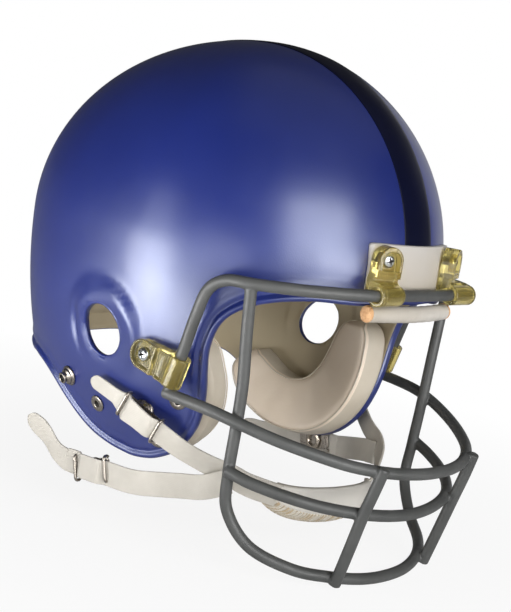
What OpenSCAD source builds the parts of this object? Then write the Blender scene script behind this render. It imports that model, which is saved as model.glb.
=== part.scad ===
// Football helmet with face guard, chin strap and inner pads.
// The origin lies midway between the ear holes, +Z is up, the face looks along -Y
// and the wearer's right side is at -X. All sizes are millimetres.

/* [Shell] */
// Half width of the dome at its widest level
dome_half_width = 116.5; // [113:0.5:120]
// Length of the dome in front of its axis
dome_front = 134; // [131:0.5:137]
// Length of the dome behind its axis
dome_rear = 148; // [142:0.5:154]
// Height of the dome above its widest level
dome_height = 127.5; // [122:0.5:133]
// Height of the widest level above the ear holes
widest_level = 60; // [57:0.5:63]
// Distance of the dome's axis in front of the ear holes
dome_axis_shift = 10; // [8:0.5:12]
// Wall thickness of the shell
shell_wall = 3.6; // [3:0.1:4.4]
// Diameter of the ear holes
ear_hole_d = 32; // [24:0.5:38]
// Height of the moulded ear bulge
ear_bulge = 4; // [0:0.5:5]
// Radius of the moulded ear bulge
ear_bulge_r = 38; // [34:0.5:42]
// Height of the bead along the rim
rim_bead = 2.2; // [1:0.1:3]
// Half width of the centre stripe
stripe_half_width = 14; // [8:0.5:20]
// Thickness of the centre stripe
stripe_thickness = 0.5; // [0.3:0.1:1]

/* [Bumper and pads] */
// Half width of the bumper plate over the brow
bumper_half_width = 41; // [38:0.5:44]
// Thickness of the bumper plate
bumper_thickness = 3; // [2:0.1:4]
// Diameter of the roll under the brow
roll_d = 10; // [8:0.2:10.4]
// Thickness of the cover on the roll
roll_cover = 1.2; // [0.8:0.1:2]
// Thickness of the front, side and rear pads
pad_thickness = 14; // [8:0.5:18]
// Thickness of the crown pad
crown_pad_thickness = 16; // [8:0.5:20]
// Thickness of the jaw pads
jaw_pad_thickness = 20; // [16:0.5:24]

/* [Face guard] */
// Diameter of the coated bars
bar_d = 7.2; // [6:0.1:8]
// Wall of the clip loops round the bars
loop_wall = 2.4; // [1.8:0.1:3]
// Play of a bar in its clip loop
loop_play = 0.4; // [0.2:0.05:0.6]
// Width of the front clips' loops
front_clip_w = 18; // [15:0.5:19]
// Width of the front clips' heads
front_head_w = 16.5; // [14:0.5:18]
// Width of the side clips
side_clip_w = 18; // [16:0.5:22]
// Distance of the front clips' loops from the middle
front_clip_x = 37; // [36:0.1:37.2]
// Distance of the front clips' screws from the middle, where they enter the shell
front_screw_x = 30.3; // [29:0.1:32]
// Diameter of the clip screws
screw_d = 4.2; // [3:0.1:5]
// Diameter of the screw heads
screw_head_d = 8.6; // [7:0.1:10]

/* [Chin strap] */
// Width of the straps
strap_w = 15.6; // [13:0.2:17]
// Thickness of the straps
strap_t = 1.6; // [1.2:0.1:2]
// Play of a strap in its buckle
buckle_play = 0.4; // [0.3:0.05:0.6]
// Distance kept between the lower strap and the upper strap where they meet
strap_clearance = 0.4; // [0.3:0.05:0.6]
// Diameter of the buckle wire
buckle_wire = 1.8; // [1.4:0.1:2.2]
// Diameter of the snap studs
stud_d = 7.2; // [6:0.1:8]
// Diameter of the snap caps
snap_d = 12.8; // [11.6:0.2:13.2]
// Half width of the chin cup
cup_half_width = 39; // [35:0.5:42]
// Wall thickness of the chin cup
cup_wall = 4; // [2.5:0.1:5]

/* [Hidden] */

right = -1;
left = 1;
seat_gap = 0.3;
front_power = 1.9;
rear_power = 2.35;
side_reach = 202;
front_reach = 260;
rear_reach = 230;
axis_y = -dome_axis_shift;
brow_z = 45.6;
nape_z = -33;

// Rim of the shell from the brow to the nape: distance in front of or behind
// the ear holes, and height above them
rim_side = [
  [-138, 44.8], [-130, 43.4], [-116, 42.5], [-103, 39], [-93, 34.5], [-84.5, 28], [-79, 21],
  [-75.5, 12], [-73.5, 2], [-73, -10], [-72.5, -22], [-70.5, -34], [-66, -46.5],
  [-58, -58], [-47, -67.5], [-34, -73.5], [-20, -76], [-5, -75], [9, -72], [19, -68],
  [28, -62.5], [36, -56.5], [44, -50.5], [53, -43.8], [64, -38], [77, -34.5], [94, -33],
  [116, -33]
];

// Half width of the dome at which the bars and the straps lie on the points below
drawn_half_width = 116.5;
function spread(points) = [for (p = points)
  [p[0] * dome_half_width / drawn_half_width, p[1], p[2]]];

// Bars of the face guard, from the right end or from the top to the middle
brow_bar_half = spread([
  [-109.3, -59.2, -23.5], [-109.6, -66, 2], [-110.3, -72, 25], [-110, -78, 42],
  [-108, -89, 49.5], [-103.5, -104, 50.5], [-88, -125, 51.5], [-71, -138.5, 52.3],
  [-57, -147, 53], [-45.5, -151, 53.2], [-24.5, -151.4, 53.2], [0, -151.5, 53.2]
]);
upper_bar_half = spread([
  [-110.2, -57.5, -24.2], [-109.3, -72, -25], [-106.5, -90, -26.5], [-101.5, -107, -29.5],
  [-91.5, -128, -34.5], [-78, -147, -39], [-62, -163, -43], [-42, -174.5, -45.5],
  [-21, -181, -46.7], [0, -183, -47]
]);
lower_bar_half = spread([
  [-98.5, -103.5, -59.5], [-94, -117, -63], [-84, -133, -66.5], [-69, -149, -70],
  [-50, -161.5, -72.7], [-26, -169, -75.2], [0, -171.3, -76.4]
]);
u_bar_half = spread([
  [-103, -103.2, 47], [-100.5, -103.4, 20], [-97.5, -104, -8], [-96.5, -103.5, -35],
  [-95.5, -102.5, -62], [-92.5, -103.5, -84], [-84, -117, -103], [-67, -137.5, -112.5],
  [-46, -151, -116], [-23, -158.5, -118.3], [0, -160.5, -119]
]);
front_vertical_points = spread([
  [-48.5, -177, -42], [-49, -173, -57], [-49, -168.3, -73], [-48, -162.5, -95], [-47, -156, -119]
]);
bar_sides = 12;

// Clip places
front_clip_y = -151.2;
front_clip_z = 53.2;
front_clip_yaw = 20;
front_screw_z = 73;
side_clip_place = spread([[109.5, -62.6, -10.4]])[0];
side_bar_tilt = 15.8;
side_clip_tilt = 11;
side_screw_back = 24;

// Chin strap places: snap axis, junctions of the straps and their routes
upper_snap_place = spread([[98, -34, -42]])[0];
buckle_out = 8.7;
rear_stud_place = [34, -38];
jaw_rivet_places = [[7, -49], [-40, -58.5], [-56, -31]];
upper_buckle_mid = [upper_snap_place[0] + buckle_out, -34, -43.5];
upper_buckle_dir = unit([-7, -35, -15]);
upper_straight = [for (k = [-18, -11.5, 11.5, 18]) upper_buckle_mid + k * upper_buckle_dir];
tail_out = 3.5;
cup_hold = 3;
upper_route_right = concat([[-upper_buckle_mid[0] - tail_out, 3, -31.5]],
  [for (p = upper_straight) flipped(p)],
  spread([[-92, -61, -59.5], [-80, -73, -66.5], [-68, -82, -71.5], [-60, -86, -76]]),
  [[-cup_half_width - 12, -90, -79.5], [-cup_half_width - 4, -93.4, -82],
  [cup_hold - cup_half_width, -97, -84]]);
upper_route_left = concat([[upper_buckle_mid[0] + tail_out, 4, -31]], upper_straight,
  spread([[90, -69, -58], [79, -85, -62], [68, -96, -66], [60, -101.5, -71.5]]),
  [[cup_half_width + 12, -106, -76.5], [cup_half_width + 4, -108.7, -80],
  [cup_half_width - cup_hold, -112, -82.5]]);
lower_route_right = spread([
  [-72.6, -85.8, -74.2], [-80.2, -73.6, -80.6], [-85, -58, -84], [-91, -32, -89.5],
  [-93.5, -20, -90.5],
  [-94, -15.4, -90.5], [-98, 21.4, -90.5], [-98.5, 26, -90.5], [-99.5, 35, -87],
  [-100.5, 47, -78.5], [-101.5, 62, -71.5]
]);
lower_route_left = spread([
  [74.2, -88.3, -69.4], [77.2, -81.3, -70.4], [80.8, -74, -71.7], [90.5, -54, -77], [93.8, -44, -79.5],
  [94.04, -40, -79.65], [95.96, -8, -80.85], [96.2, -4, -81], [97, 12, -82.5], [97, 30, -87],
  [96, 46, -88]
]);
buckle_len = 21.5;
lower_buckle_mid_right = spread([[-96.22, 5, -90.5]])[0];
lower_buckle_mid_left = spread([[95, -24, -80.25]])[0];

function smooth(a, b, t) = let (u = min(1, max(0, (t - a) / (b - a)))) u * u * (3 - 2 * u);
function unit(v) = v / norm(v);
function mid(a, b, t) = a + (b - a) * t;
function catmull(a, b, c, d, t) = 0.5 * (2 * b + (c - a) * t
  + (2 * a - 5 * b + 4 * c - d) * t * t + (3 * b - a - 3 * c + d) * t * t * t);
function flipped(p) = [-p[0], p[1], p[2]];
function mirrored(half) = concat(half, [for (i = [len(half) - 2:-1:0]) flipped(half[i])]);
function to_side(p, side) = [side * abs(p[0]), p[1], p[2]];

// Shape of the dome: widths shrink below the widest level and towards the pole
function shrink(z, reach) = z < widest_level ? sqrt(1 - pow((widest_level - z) / reach, 2)) : 1;
function dome_scale(z) = z > widest_level
  ? sqrt(max(0, 1 - pow((z - widest_level) / dome_height, 2))) : 1;
function half_width(z) = dome_scale(z) * dome_half_width  * shrink(z, side_reach);
function half_length(y, z) = dome_scale(z)
  * (y < axis_y ? dome_front * shrink(z, front_reach) : dome_rear * shrink(z, rear_reach));
function plan_power(q) = mid(front_power, rear_power, smooth(-0.4, 0.4, q));
function share_of(s, i = 0, q = undef) = let (g = i == 0 ? s : q)
  i == 4 ? g : share_of(s, i + 1, sign(s) * pow(abs(s), 2 / plan_power(g)));

// Point of the dome at plan angle t, 0 at the right side, -90 in front, +90 behind
function dome_point(t, z) = let (
    s = sin(t), c = cos(t), q = share_of(s), y = axis_y + q * half_length(axis_y + s, z)
  ) [-sign(c) * half_width(z) * pow(abs(c), 2 / plan_power(q)), y, z];

// Distance of the outer surface from the middle at a given place of the side
function side_x(y, z) = let (q = (y - axis_y) / half_length(y, z), n = plan_power(q))
  half_width(z) * pow(max(0, 1 - pow(abs(q), n)), 1 / n);
function side_normal(y, z) = map_normal(to_map([-side_x(y, z), y, z]));

// Plan map round the pole: distance 1 is the widest level
function level(r) = r < 1 ? widest_level + dome_height * cos(90 * r)
  : widest_level - (r - 1) * dome_height * PI / 2;
function pole_distance(z) = z > widest_level ? acos((z - widest_level) / dome_height) / 90
  : 1 + (widest_level - z) / (dome_height * PI / 2);
function map_point(m) = dome_point(atan2(m[1], m[0]), level(norm(m)));
function map_normal(m) = let (
    d = 0.01, a = map_point(m + [d, 0]) - map_point(m - [d, 0]),
    b = map_point(m + [0, d]) - map_point(m - [0, d])
  ) unit(cross(b, a));
function plan_angle(p) = let (
    q = (p[1] - axis_y) / half_length(p[1], p[2]), n = plan_power(q) / 2
  ) atan2(sign(q) * pow(abs(q), n), -sign(p[0]) * pow(abs(p[0]) / half_width(p[2]), n));
function to_map(p) = let (t = plan_angle(p), r = pole_distance(p[2])) [r * cos(t), r * sin(t)];
function bulge(p) = ear_bulge * smooth(ear_bulge_r, ear_bulge_r * 0.62, norm([p[1], p[2]]))
  * smooth(-4, 22, p[2]);
function skin(m, lift) = let (p = map_point(m)) p + map_normal(m) * (lift + bulge(p));

// Place at a height in front or behind, and the map place at a distance x from the
// middle plane with a given map coordinate v along it
function dome_face(x, z, front) = let (
    n = front ? front_power : rear_power, l = half_length(front ? axis_y - 1 : 200, z)
  ) [x, axis_y + (front ? -1 : 1) * l * pow(1 - pow(abs(x) / half_width(z), n), 1 / n), z];
function middle_map(x, v, i = 0, u = undef) = let (
    g = i == 0 ? abs(x) / dome_half_width : u, r = norm([g, v]),
    n = plan_power(share_of(v / r))
  ) i == 8 ? [-sign(x) * g, v]
  : middle_map(x, v, i + 1, r * pow(abs(x) / half_width(level(r)), n / 2));

// Rim as a closed loop in the plan map, its points a steady distance apart
function side_angle(y, z) = let (q = (y - axis_y) / half_length(y, z))
  sign(q) * asin(pow(min(1, abs(q)), plan_power(q) / 2));
rim_polar = concat([[-90, brow_z]], [for (p = rim_side) [side_angle(p[0], p[1]), p[1]]],
  [[90, nape_z]]);
rim_full = concat(rim_polar,
  [for (i = [len(rim_polar) - 2:-1:1]) [180 - rim_polar[i][0], rim_polar[i][1]]]);
rim_map = [for (q = rim_full) pole_distance(q[1]) * [cos(q[0]), sin(q[0])]];
rim_count = len(rim_map);
rim_dense = [for (i = [0:rim_count - 1], k = [0:5])
  catmull(rim_map[(i + rim_count - 1) % rim_count], rim_map[i], rim_map[(i + 1) % rim_count],
    rim_map[(i + 2) % rim_count], k / 6)];
dense_count = len(rim_dense);
function sums(v, i = 0, s = 0) = i == len(v) ? [s] : concat([s], sums(v, i + 1, s + v[i]));
rim_length = sums([for (i = [0:dense_count - 1])
  norm(map_point(rim_dense[(i + 1) % dense_count]) - map_point(rim_dense[i]))]);
rim_x = [for (i = [0:dense_count]) [rim_length[i], rim_dense[i % dense_count][0]]];
rim_y = [for (i = [0:dense_count]) [rim_length[i], rim_dense[i % dense_count][1]]];
loop_count = 96;
rim_loop = [for (i = [0:loop_count - 1])
  let (s = rim_length[dense_count] * i / loop_count) [lookup(s, rim_x), lookup(s, rim_y)]];
function inward(i) = let (
    a = map_point(rim_loop[(i + loop_count - 1) % loop_count]),
    b = map_point(rim_loop[(i + 1) % loop_count])
  ) unit(cross(b - a, map_normal(rim_loop[i])));
function rim_inset(i, d) = to_map(map_point(rim_loop[i]) + d * inward(i));

// Rows from the rim inwards: distance from the rim and share of the bead's height
bead_rows = [[0, 0.5], [1.2, 1], [3.4, 1], [5, 0.3], [6.2, 0]];
bead_end = bead_rows[len(bead_rows) - 1][0];
fan_centre = [0, 0.4];
fan_rows = 12;
fan_steps = concat([0.3], [for (k = [1:fan_rows - 1]) k]);
function fan_map(i, k) = fan_centre + (rim_inset(i, bead_end) - fan_centre) * k / fan_rows;

// Closed solid through rings of equal count, each end closed by a fan
module rings_solid(rings) {
  n = len(rings[0]);
  count = len(rings);
  function centre(r) = [for (k = [0:2]) [for (p = r) p[k]] * [for (p = r) 1] / n];
  points = concat([centre(rings[0])], [for (r = rings) each r], [centre(rings[count - 1])]);
  last = len(points) - 1;
  function at(k, i) = 1 + k * n + i % n;
  polyhedron(points, concat(
    [for (i = [0:n - 1]) [0, at(0, i), at(0, i + 1)]],
    [for (k = [0:count - 2], i = [0:n - 1]) each
      [[at(k, i), at(k + 1, i), at(k + 1, i + 1)], [at(k, i), at(k + 1, i + 1), at(k, i + 1)]]],
    [for (i = [0:n - 1]) [last, at(count - 1, i + 1), at(count - 1, i)]]
  ), convexity = 8);
}

// Closed solid between two sheets of equal grids, both seen from outside
module sheet_solid(outer, inner) {
  rows = len(outer);
  cols = len(outer[0]);
  points = concat([for (r = outer) each r], [for (r = inner) each r]);
  half = rows * cols;
  function at(r, c, b) = b * half + r * cols + c;
  edge = concat([for (c = [0:cols - 2]) [0, c]], [for (r = [0:rows - 2]) [r, cols - 1]],
    [for (c = [cols - 1:-1:1]) [rows - 1, c]], [for (r = [rows - 1:-1:1]) [r, 0]]);
  n = len(edge);
  polyhedron(points, concat(
    [for (r = [0:rows - 2], c = [0:cols - 2]) each [
      [at(r, c, 0), at(r, c + 1, 0), at(r + 1, c + 1, 0)],
      [at(r, c, 0), at(r + 1, c + 1, 0), at(r + 1, c, 0)],
      [at(r, c, 1), at(r + 1, c + 1, 1), at(r, c + 1, 1)],
      [at(r, c, 1), at(r + 1, c, 1), at(r + 1, c + 1, 1)]]],
    [for (i = [0:n - 1]) let (a = edge[i], b = edge[(i + 1) % n]) each [
      [at(a[0], a[1], 0), at(a[0], a[1], 1), at(b[0], b[1], 1)],
      [at(a[0], a[1], 0), at(b[0], b[1], 1), at(b[0], b[1], 0)]]]
  ), convexity = 6);
}

// Smooth path through points, and a round bar along a path
function smooth_path(p, steps) = let (n = len(p) - 1) concat(
  [for (i = [0:n - 1], k = [0:steps - 1])
    catmull(p[max(0, i - 1)], p[i], p[i + 1], p[min(n, i + 2)], k / steps)], [p[n]]);
function tangent(p, i) = unit(p[min(len(p) - 1, i + 1)] - p[max(0, i - 1)]);
function sides(p, start, i = 0, prev = undef) = i == len(p) ? [] : let (
    t = tangent(p, i), b = i == 0 ? start : prev, s = unit(b - t * (b * t))
  ) concat([s], sides(p, start, i + 1, s));
module bar(points, d, start = [0, 0, 1], n = bar_sides) {
  side = sides(points, start);
  rings_solid([for (i = [0:len(points) - 1]) let (s = side[i], u = cross(tangent(points, i), s))
    [for (k = [0:n - 1]) points[i] + (s * cos(k * 360 / n) + u * sin(k * 360 / n)) * d / 2]]);
}

// Flat strap along a path, its width along a direction that turns from a to b,
// with a share of the full width at each share of its length
module ribbon(path, a, b, shares, grow = 0) {
  n = len(path) - 1;
  rings_solid([for (i = [0:n]) let (
      t = tangent(path, i), w0 = mid(a, b, i / n),
      w = unit(w0 - t * (w0 * t)) * (strap_w * lookup(i / n, shares) / 2 + grow),
      u = unit(cross(t, w)) * (strap_t / 2 + grow)
    ) [path[i] - w - u, path[i] + w - u, path[i] + w + u, path[i] - w + u]]);
}

// Moves children to a point with their +Z along a direction
module facing(p, n) {
  translate(p) rotate([0, acos(n[2] / norm(n)), atan2(n[1], n[0])]) children();
}
// Moves children to the outer surface at the side, +Z outwards
module on_side(y, z, side) {
  m = to_map([side * side_x(y, z), y, z]);
  facing(skin(m, 0), map_normal(m)) children();
}

module screw_cuts() {
  for (side = [right, left]) {
    front_screw_frame(side) cylinder(h = 60, d = screw_d + 2 * loop_play, center = true, $fn = 32);
    side_screw_frame(side) cylinder(h = 60, d = screw_d + 2 * loop_play, center = true, $fn = 32);
  }
}
// Frames of the clip screws: +Z outwards, origin on the outer surface
module front_screw_frame(side) {
  m = to_map(dome_face(side * front_screw_x, front_screw_z, true));
  translate(map_point(m)) rotate([90, 0, side * front_clip_yaw]) children();
}
module side_screw_frame(side) {
  y = side_clip_place[1] + side_screw_back * cos(side_clip_tilt);
  z = side_clip_place[2] + side_screw_back * sin(side_clip_tilt);
  translate([side * side_x(y, z), y, z]) rotate([0, side * 90, 0]) children();
}

module shell_body() {
  outer_fan = [for (k = fan_steps) [for (i = [0:loop_count - 1]) skin(fan_map(i, k), 0)]];
  outer_rim = [for (j = [len(bead_rows) - 1:-1:0])
    [for (i = [0:loop_count - 1]) skin(rim_inset(i, bead_rows[j][0]), bead_rows[j][1] * rim_bead)]];
  inner_rim = [for (d = [0, bead_end])
    [for (i = [0:loop_count - 1]) skin(rim_inset(i, d), -shell_wall)]];
  inner_fan = [for (j = [fan_rows - 1:-1:0])
    [for (i = [0:loop_count - 1]) skin(fan_map(i, fan_steps[j]), -shell_wall)]];
  rings_solid(concat(outer_fan, outer_rim, inner_rim, inner_fan));
}
module shell() {
  color("mediumblue") difference() {
    shell_body();
    rotate([0, 90, 0]) cylinder(h = 3 * dome_half_width, d = ear_hole_d, center = true, $fn = 64);
    screw_cuts();
  }
}

// Stations along the middle of the dome, from the bumper over the pole to the nape
stripe_front_z = 84;
stripe_rows = 37;
module centre_stripe() {
  v0 = -pole_distance(stripe_front_z);
  v1 = pole_distance(nape_z + bead_end + 1);
  function strip(lift) = [for (i = [0:stripe_rows]) [for (c = [1, 0.6, 0.2, -0.2, -0.6, -1])
    skin(middle_map(c * stripe_half_width, mid(v0, v1, i / stripe_rows)), lift)]];
  color("midnightblue") sheet_solid(strip(seat_gap + stripe_thickness), strip(seat_gap));
}

// Padded sheet on the dome: crowned face, sides drawn in, edge rounded
function edge_share(i, n) = let (t = abs(2 * i / n - 1)) pow(t, 6);
module dome_pad(map, low, high) {
  rows = len(map) - 1;
  cols = len(map[0]) - 1;
  function face(i, j) = let (e = max(edge_share(i, rows), edge_share(j, cols)))
    mid(high, mid(low, high, 0.45), e);
  sheet_solid([for (i = [0:rows]) [for (j = [0:cols]) skin(map[i][j], max(low, high) == high
      ? face(i, j) : low)]],
    [for (i = [0:rows]) [for (j = [0:cols]) skin(map[i][j], max(low, high) == high
      ? low : face(i, j))]]);
}
function face_grid(xs, zs, front) = [for (z = zs) [for (x = xs)
  to_map(dome_face(front ? x : -x, z, front))]];
pad_seat = -(shell_wall + seat_gap + 0.7);
function steps(a, b, n) = [for (i = [0:n]) a + (b - a) * i / n];

bumper_low_z = 52.3;
bumper_high_z = 81.5;
module front_bumper() {
  map = face_grid(steps(bumper_half_width, -bumper_half_width, 12),
    steps(bumper_low_z, bumper_high_z, 4), true);
  color("linen") difference() {
    sheet_solid([for (r = map) [for (m = r) skin(m, seat_gap + bumper_thickness)]],
      [for (r = map) [for (m = r) skin(m, seat_gap)]]);
    screw_cuts();
  }
}

roll_z = brow_z - 0.1 - roll_d / 2;
roll_path = [for (x = steps(-bumper_half_width, bumper_half_width, 14))
  [x, -146.2 + 5.4 * pow(x / 41, 2), roll_z]];
module brow_roll_cover() {
  color("linen") difference() {
    bar(roll_path, roll_d, n = 16);
    bar(concat([mid(roll_path[1], roll_path[0], 2)], [for (i = [1:13]) roll_path[i]],
      [mid(roll_path[13], roll_path[14], 2)]), roll_d - 2 * roll_cover, n = 12);
  }
}
module brow_roll_foam() {
  color("sandybrown") bar(roll_path, roll_d - 2 * roll_cover - seat_gap, n = 12);
}

// Room behind the shell for the nuts of the clip screws
module nut_room() {
  for (side = [right, left]) {
    front_screw_frame(side) translate([0, 0, -nut_reach - 1]) cylinder(h = nut_reach, d = 16, $fn = 48);
    side_screw_frame(side) translate([0, 0, -nut_reach - 1]) cylinder(h = nut_reach, d = 16, $fn = 48);
  }
}
nut_reach = shell_wall + 6.6;
module front_pad() {
  color("wheat") difference() {
    dome_pad(face_grid(steps(60, -60, 12), steps(54, 90, 6), true),
      pad_seat, pad_seat - pad_thickness);
    nut_room();
  }
}
module rear_pad() {
  color("wheat") dome_pad(face_grid(steps(58, -58, 12), steps(-22, 44, 8), false),
    pad_seat, pad_seat - pad_thickness);
}
module side_pad(side) {
  map = [for (z = steps(62, 100, 6)) [for (y = steps(52, -58, 10))
    to_map([side_x(y, z), y, z])]];
  color("wheat") to_side_of(side) dome_pad(map, pad_seat, pad_seat - pad_thickness);
}
crown_ring = 30;
module crown_pad() {
  function ring(r, lift) = [for (i = [0:crown_ring - 1]) let (a = 360 * i / crown_ring)
    skin(r * [cos(a), sin(a)] + [0, 0.06], lift)];
  color("wheat") rings_solid([
    ring(0.14, pad_seat), ring(0.28, pad_seat), ring(0.4, pad_seat),
    ring(0.42, pad_seat - crown_pad_thickness * 0.25),
    ring(0.405, pad_seat - crown_pad_thickness * 0.5),
    ring(0.4, pad_seat - crown_pad_thickness * 0.8),
    ring(0.34, pad_seat - crown_pad_thickness), ring(0.17, pad_seat - crown_pad_thickness - 1)]);
}

// Jaw pad: a crescent along a spine, each station with its half width
jaw_spine = [
  [-49, 12, 2], [-49, 9.5, 10], [-49, 3.5, 16], [-49, -7, 19], [-48.5, -20, 21],
  [-44.5, -34, 21.5], [-35, -46, 20.5], [-22, -53, 18.5], [-5, -55, 16.5], [12, -51.5, 15],
  [24, -45.5, 14], [32, -38.5, 12], [37, -32, 8], [38.5, -30, 2]
];
jaw_section = [
  [-0.97, 0.1], [-0.95, 0.4], [-1, 0.7], [-0.88, 0.92], [-0.5, 1], [0, 1.03], [0.5, 1],
  [0.88, 0.92], [1, 0.7], [0.95, 0.4], [0.97, 0.1], [0.84, 0], [0.3, 0], [-0.3, 0], [-0.84, 0]
];
module jaw_pad(side) {
  spine = smooth_path(jaw_spine, 2);
  n = len(spine) - 1;
  function depth(y, z, f) = side_x(y, z)
    - (f * jaw_pad_thickness - pad_seat) / abs(side_normal(y, z)[0]);
  color("antiquewhite") difference() {
    to_side_of(side) rings_solid([for (i = [0:n]) let (
      q = spine[i], t = unit([for (k = [0:1]) spine[min(n, i + 1)][k] - spine[max(0, i - 1)][k]]),
      across = [-t[1], t[0]], w = q[2], f = min(1, 0.4 + w / 18)
    ) [for (s = jaw_section) let (
        y = q[0] + across[0] * s[0] * w, z = q[1] + across[1] * s[0] * w
      ) [depth(y, z, s[1] * f), y, z]]]);
    nut_room();
  }
}

module rivet(d, head, length) {
  translate([0, 0, -length]) cylinder(h = length + head, d = d * 0.45, $fn = 32);
  difference() {
    cylinder(h = head, d = d, $fn = 40);
    translate([0, 0, head * 0.4]) cylinder(h = head, d = d * 0.25, $fn = 24);
  }
}
module jaw_pad_rivets(side) {
  color("silver") for (p = jaw_rivet_places)
    on_side(p[0], p[1], side) rivet(9, 1.6, shell_wall);
}
module stud() {
  cylinder(h = 1.6, d = 13, $fn = 48);
  cylinder(h = 4, d = stud_d - 1, $fn = 40);
  translate([0, 0, 4]) cylinder(h = 2, d = stud_d, $fn = 40);
}
module rear_stud(side) {
  color("silver") on_side(rear_stud_place[0], rear_stud_place[1], side) {
    stud();
    translate([0, 0, -shell_wall]) cylinder(h = shell_wall, d = 4, $fn = 32);
  }
}
stud_base = 2.6;
snap_h = 3.4;
module upper_stud(side) {
  p = upper_snap_place;
  color("silver") translate([side * p[0], p[1], p[2]]) rotate([0, side * 90, 0]) {
    translate([0, 0, -2.2]) cylinder(h = 4, d = stud_d - 1, $fn = 40);
    translate([0, 0, -1]) cylinder(h = 1 + stud_base, d = 12, $fn = 48);
    cylinder(h = stud_base + 2.6, d = stud_d, $fn = 48);
  }
}
module snap_cap() {
  difference() {
    cylinder(h = snap_h, d = snap_d, $fn = 48);
    translate([0, 0, -1]) cylinder(h = snap_h + 0.2, d = stud_d + 0.16, $fn = 48);
  }
}
module upper_snap(side) {
  p = upper_snap_place;
  color("dimgray") translate([side * (p[0] + stud_base + 0.3), p[1], p[2]])
    rotate([0, side * 90, 0]) snap_cap();
}

module brow_bar() { color("dimgray") bar(smooth_path(mirrored(brow_bar_half), 3), bar_d, [1, 0, 0]); }
module upper_bar() { color("dimgray") bar(smooth_path(mirrored(upper_bar_half), 3), bar_d); }
module lower_bar() { color("dimgray") bar(smooth_path(mirrored(lower_bar_half), 4), bar_d); }
module u_bar() { color("dimgray") bar(smooth_path(mirrored(u_bar_half), 3), bar_d, [1, 0, 0]); }
module front_vertical(side) {
  color("dimgray") bar(smooth_path([for (p = front_vertical_points) to_side(p, side)], 3),
    bar_d, [1, 0, 0]);
}

loop_r = bar_d / 2 + loop_play + loop_wall;
loop_bore_r = bar_d / 2 + loop_play;
// Distances of the front clips' back, plate, head seat and face from the shell
front_clip_back = seat_gap * 2 + bumper_thickness + 0.7;
front_plate_face = front_clip_back + 5.9;
front_head_seat = front_clip_back + 4.4;
front_head_face = front_clip_back + 8.6;
head_drop = front_screw_z - front_clip_z;
module front_clip(side) {
  w = front_clip_w;
  color("goldenrod") difference() {
    union() {
      translate([side * front_clip_x, front_clip_y, front_clip_z]) {
        rotate([0, 90, 0]) cylinder(h = w - 0.6, r = loop_r, center = true, $fn = 48);
        translate([-w / 2, 0, 0]) rotate([90, 0, 90]) linear_extrude(w)
          polygon([[-3, -1.5], [1.4, 5.2], [2, 9], [9, 9], [9, 4], [loop_r - 0.6, -1.5]]);
      }
      front_screw_frame(side) translate([0, 0, front_clip_back - 1]) {
        linear_extrude(front_plate_face - front_clip_back + 1)
          polygon([[-side * front_head_w / 2, -1], [side * front_head_w / 2, -1],
            [side * (front_head_w / 2 + 1), -head_drop + 1.3], [-side * front_head_w / 2, -head_drop + 1.3]]);
        linear_extrude(front_head_face - front_clip_back + 1) {
          circle(d = front_head_w, $fn = 64);
          translate([-front_head_w / 2, -8.6]) square([front_head_w, 8.6]);
        }
      }
    }
    front_screw_frame(side) translate([-40, -40, front_clip_back - 40]) cube([80, 80, 40]);
    translate([side * front_clip_x, front_clip_y, front_clip_z]) rotate([0, 90, 0])
      cylinder(h = 2 * w, r = loop_bore_r, center = true, $fn = 48);
    front_screw_frame(side) {
      translate([0, 0, -10]) cylinder(h = 60, d = screw_d + 2 * loop_play, $fn = 32);
      translate([0, 0, front_head_seat]) cylinder(h = 40, d = screw_head_d + 2, $fn = 48);
    }
  }
}
side_head_seat = 4.6;
module side_clip(side) {
  w = side_clip_w;
  color("goldenrod") difference() {
    translate([side * side_clip_place[0], side_clip_place[1], side_clip_place[2]])
    rotate([side_clip_tilt, 0, 0]) to_side_of(side) intersection() {
      linear_extrude(w, center = true) {
        circle(r = loop_r, $fn = 48);
        polygon([[0, -2], [loop_r, 0], [loop_r - 0.6, 11], [3.4, 13], [4.4, 33.5], [0.9, 33.5],
          [0.2, 25], [-3, 14], [-loop_r + 1.1, 6], [-loop_r, 0]]);
      }
      rotate([90, 0, 90]) linear_extrude(60, center = true) {
        translate([33.5 - w / 2, 0]) circle(d = w, $fn = 64);
        translate([-2 * loop_r, -w / 2]) square([33.5 - w / 2 + 2 * loop_r, w]);
      }
    }
    translate([side * side_clip_place[0], side_clip_place[1], side_clip_place[2]])
    rotate([side_bar_tilt, 0, 0]) cylinder(h = 2 * w, r = loop_bore_r, center = true, $fn = 48);
    side_screw_frame(side) {
      translate([0, 0, -10]) cylinder(h = 60, d = screw_d + 2 * loop_play, $fn = 32);
      translate([0, 0, side_head_seat]) cylinder(h = 40, d = screw_head_d + 2, $fn = 48);
    }
  }
}
module to_side_of(side) {
  if (side == right) mirror([1, 0, 0]) children();
  else children();
}

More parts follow.
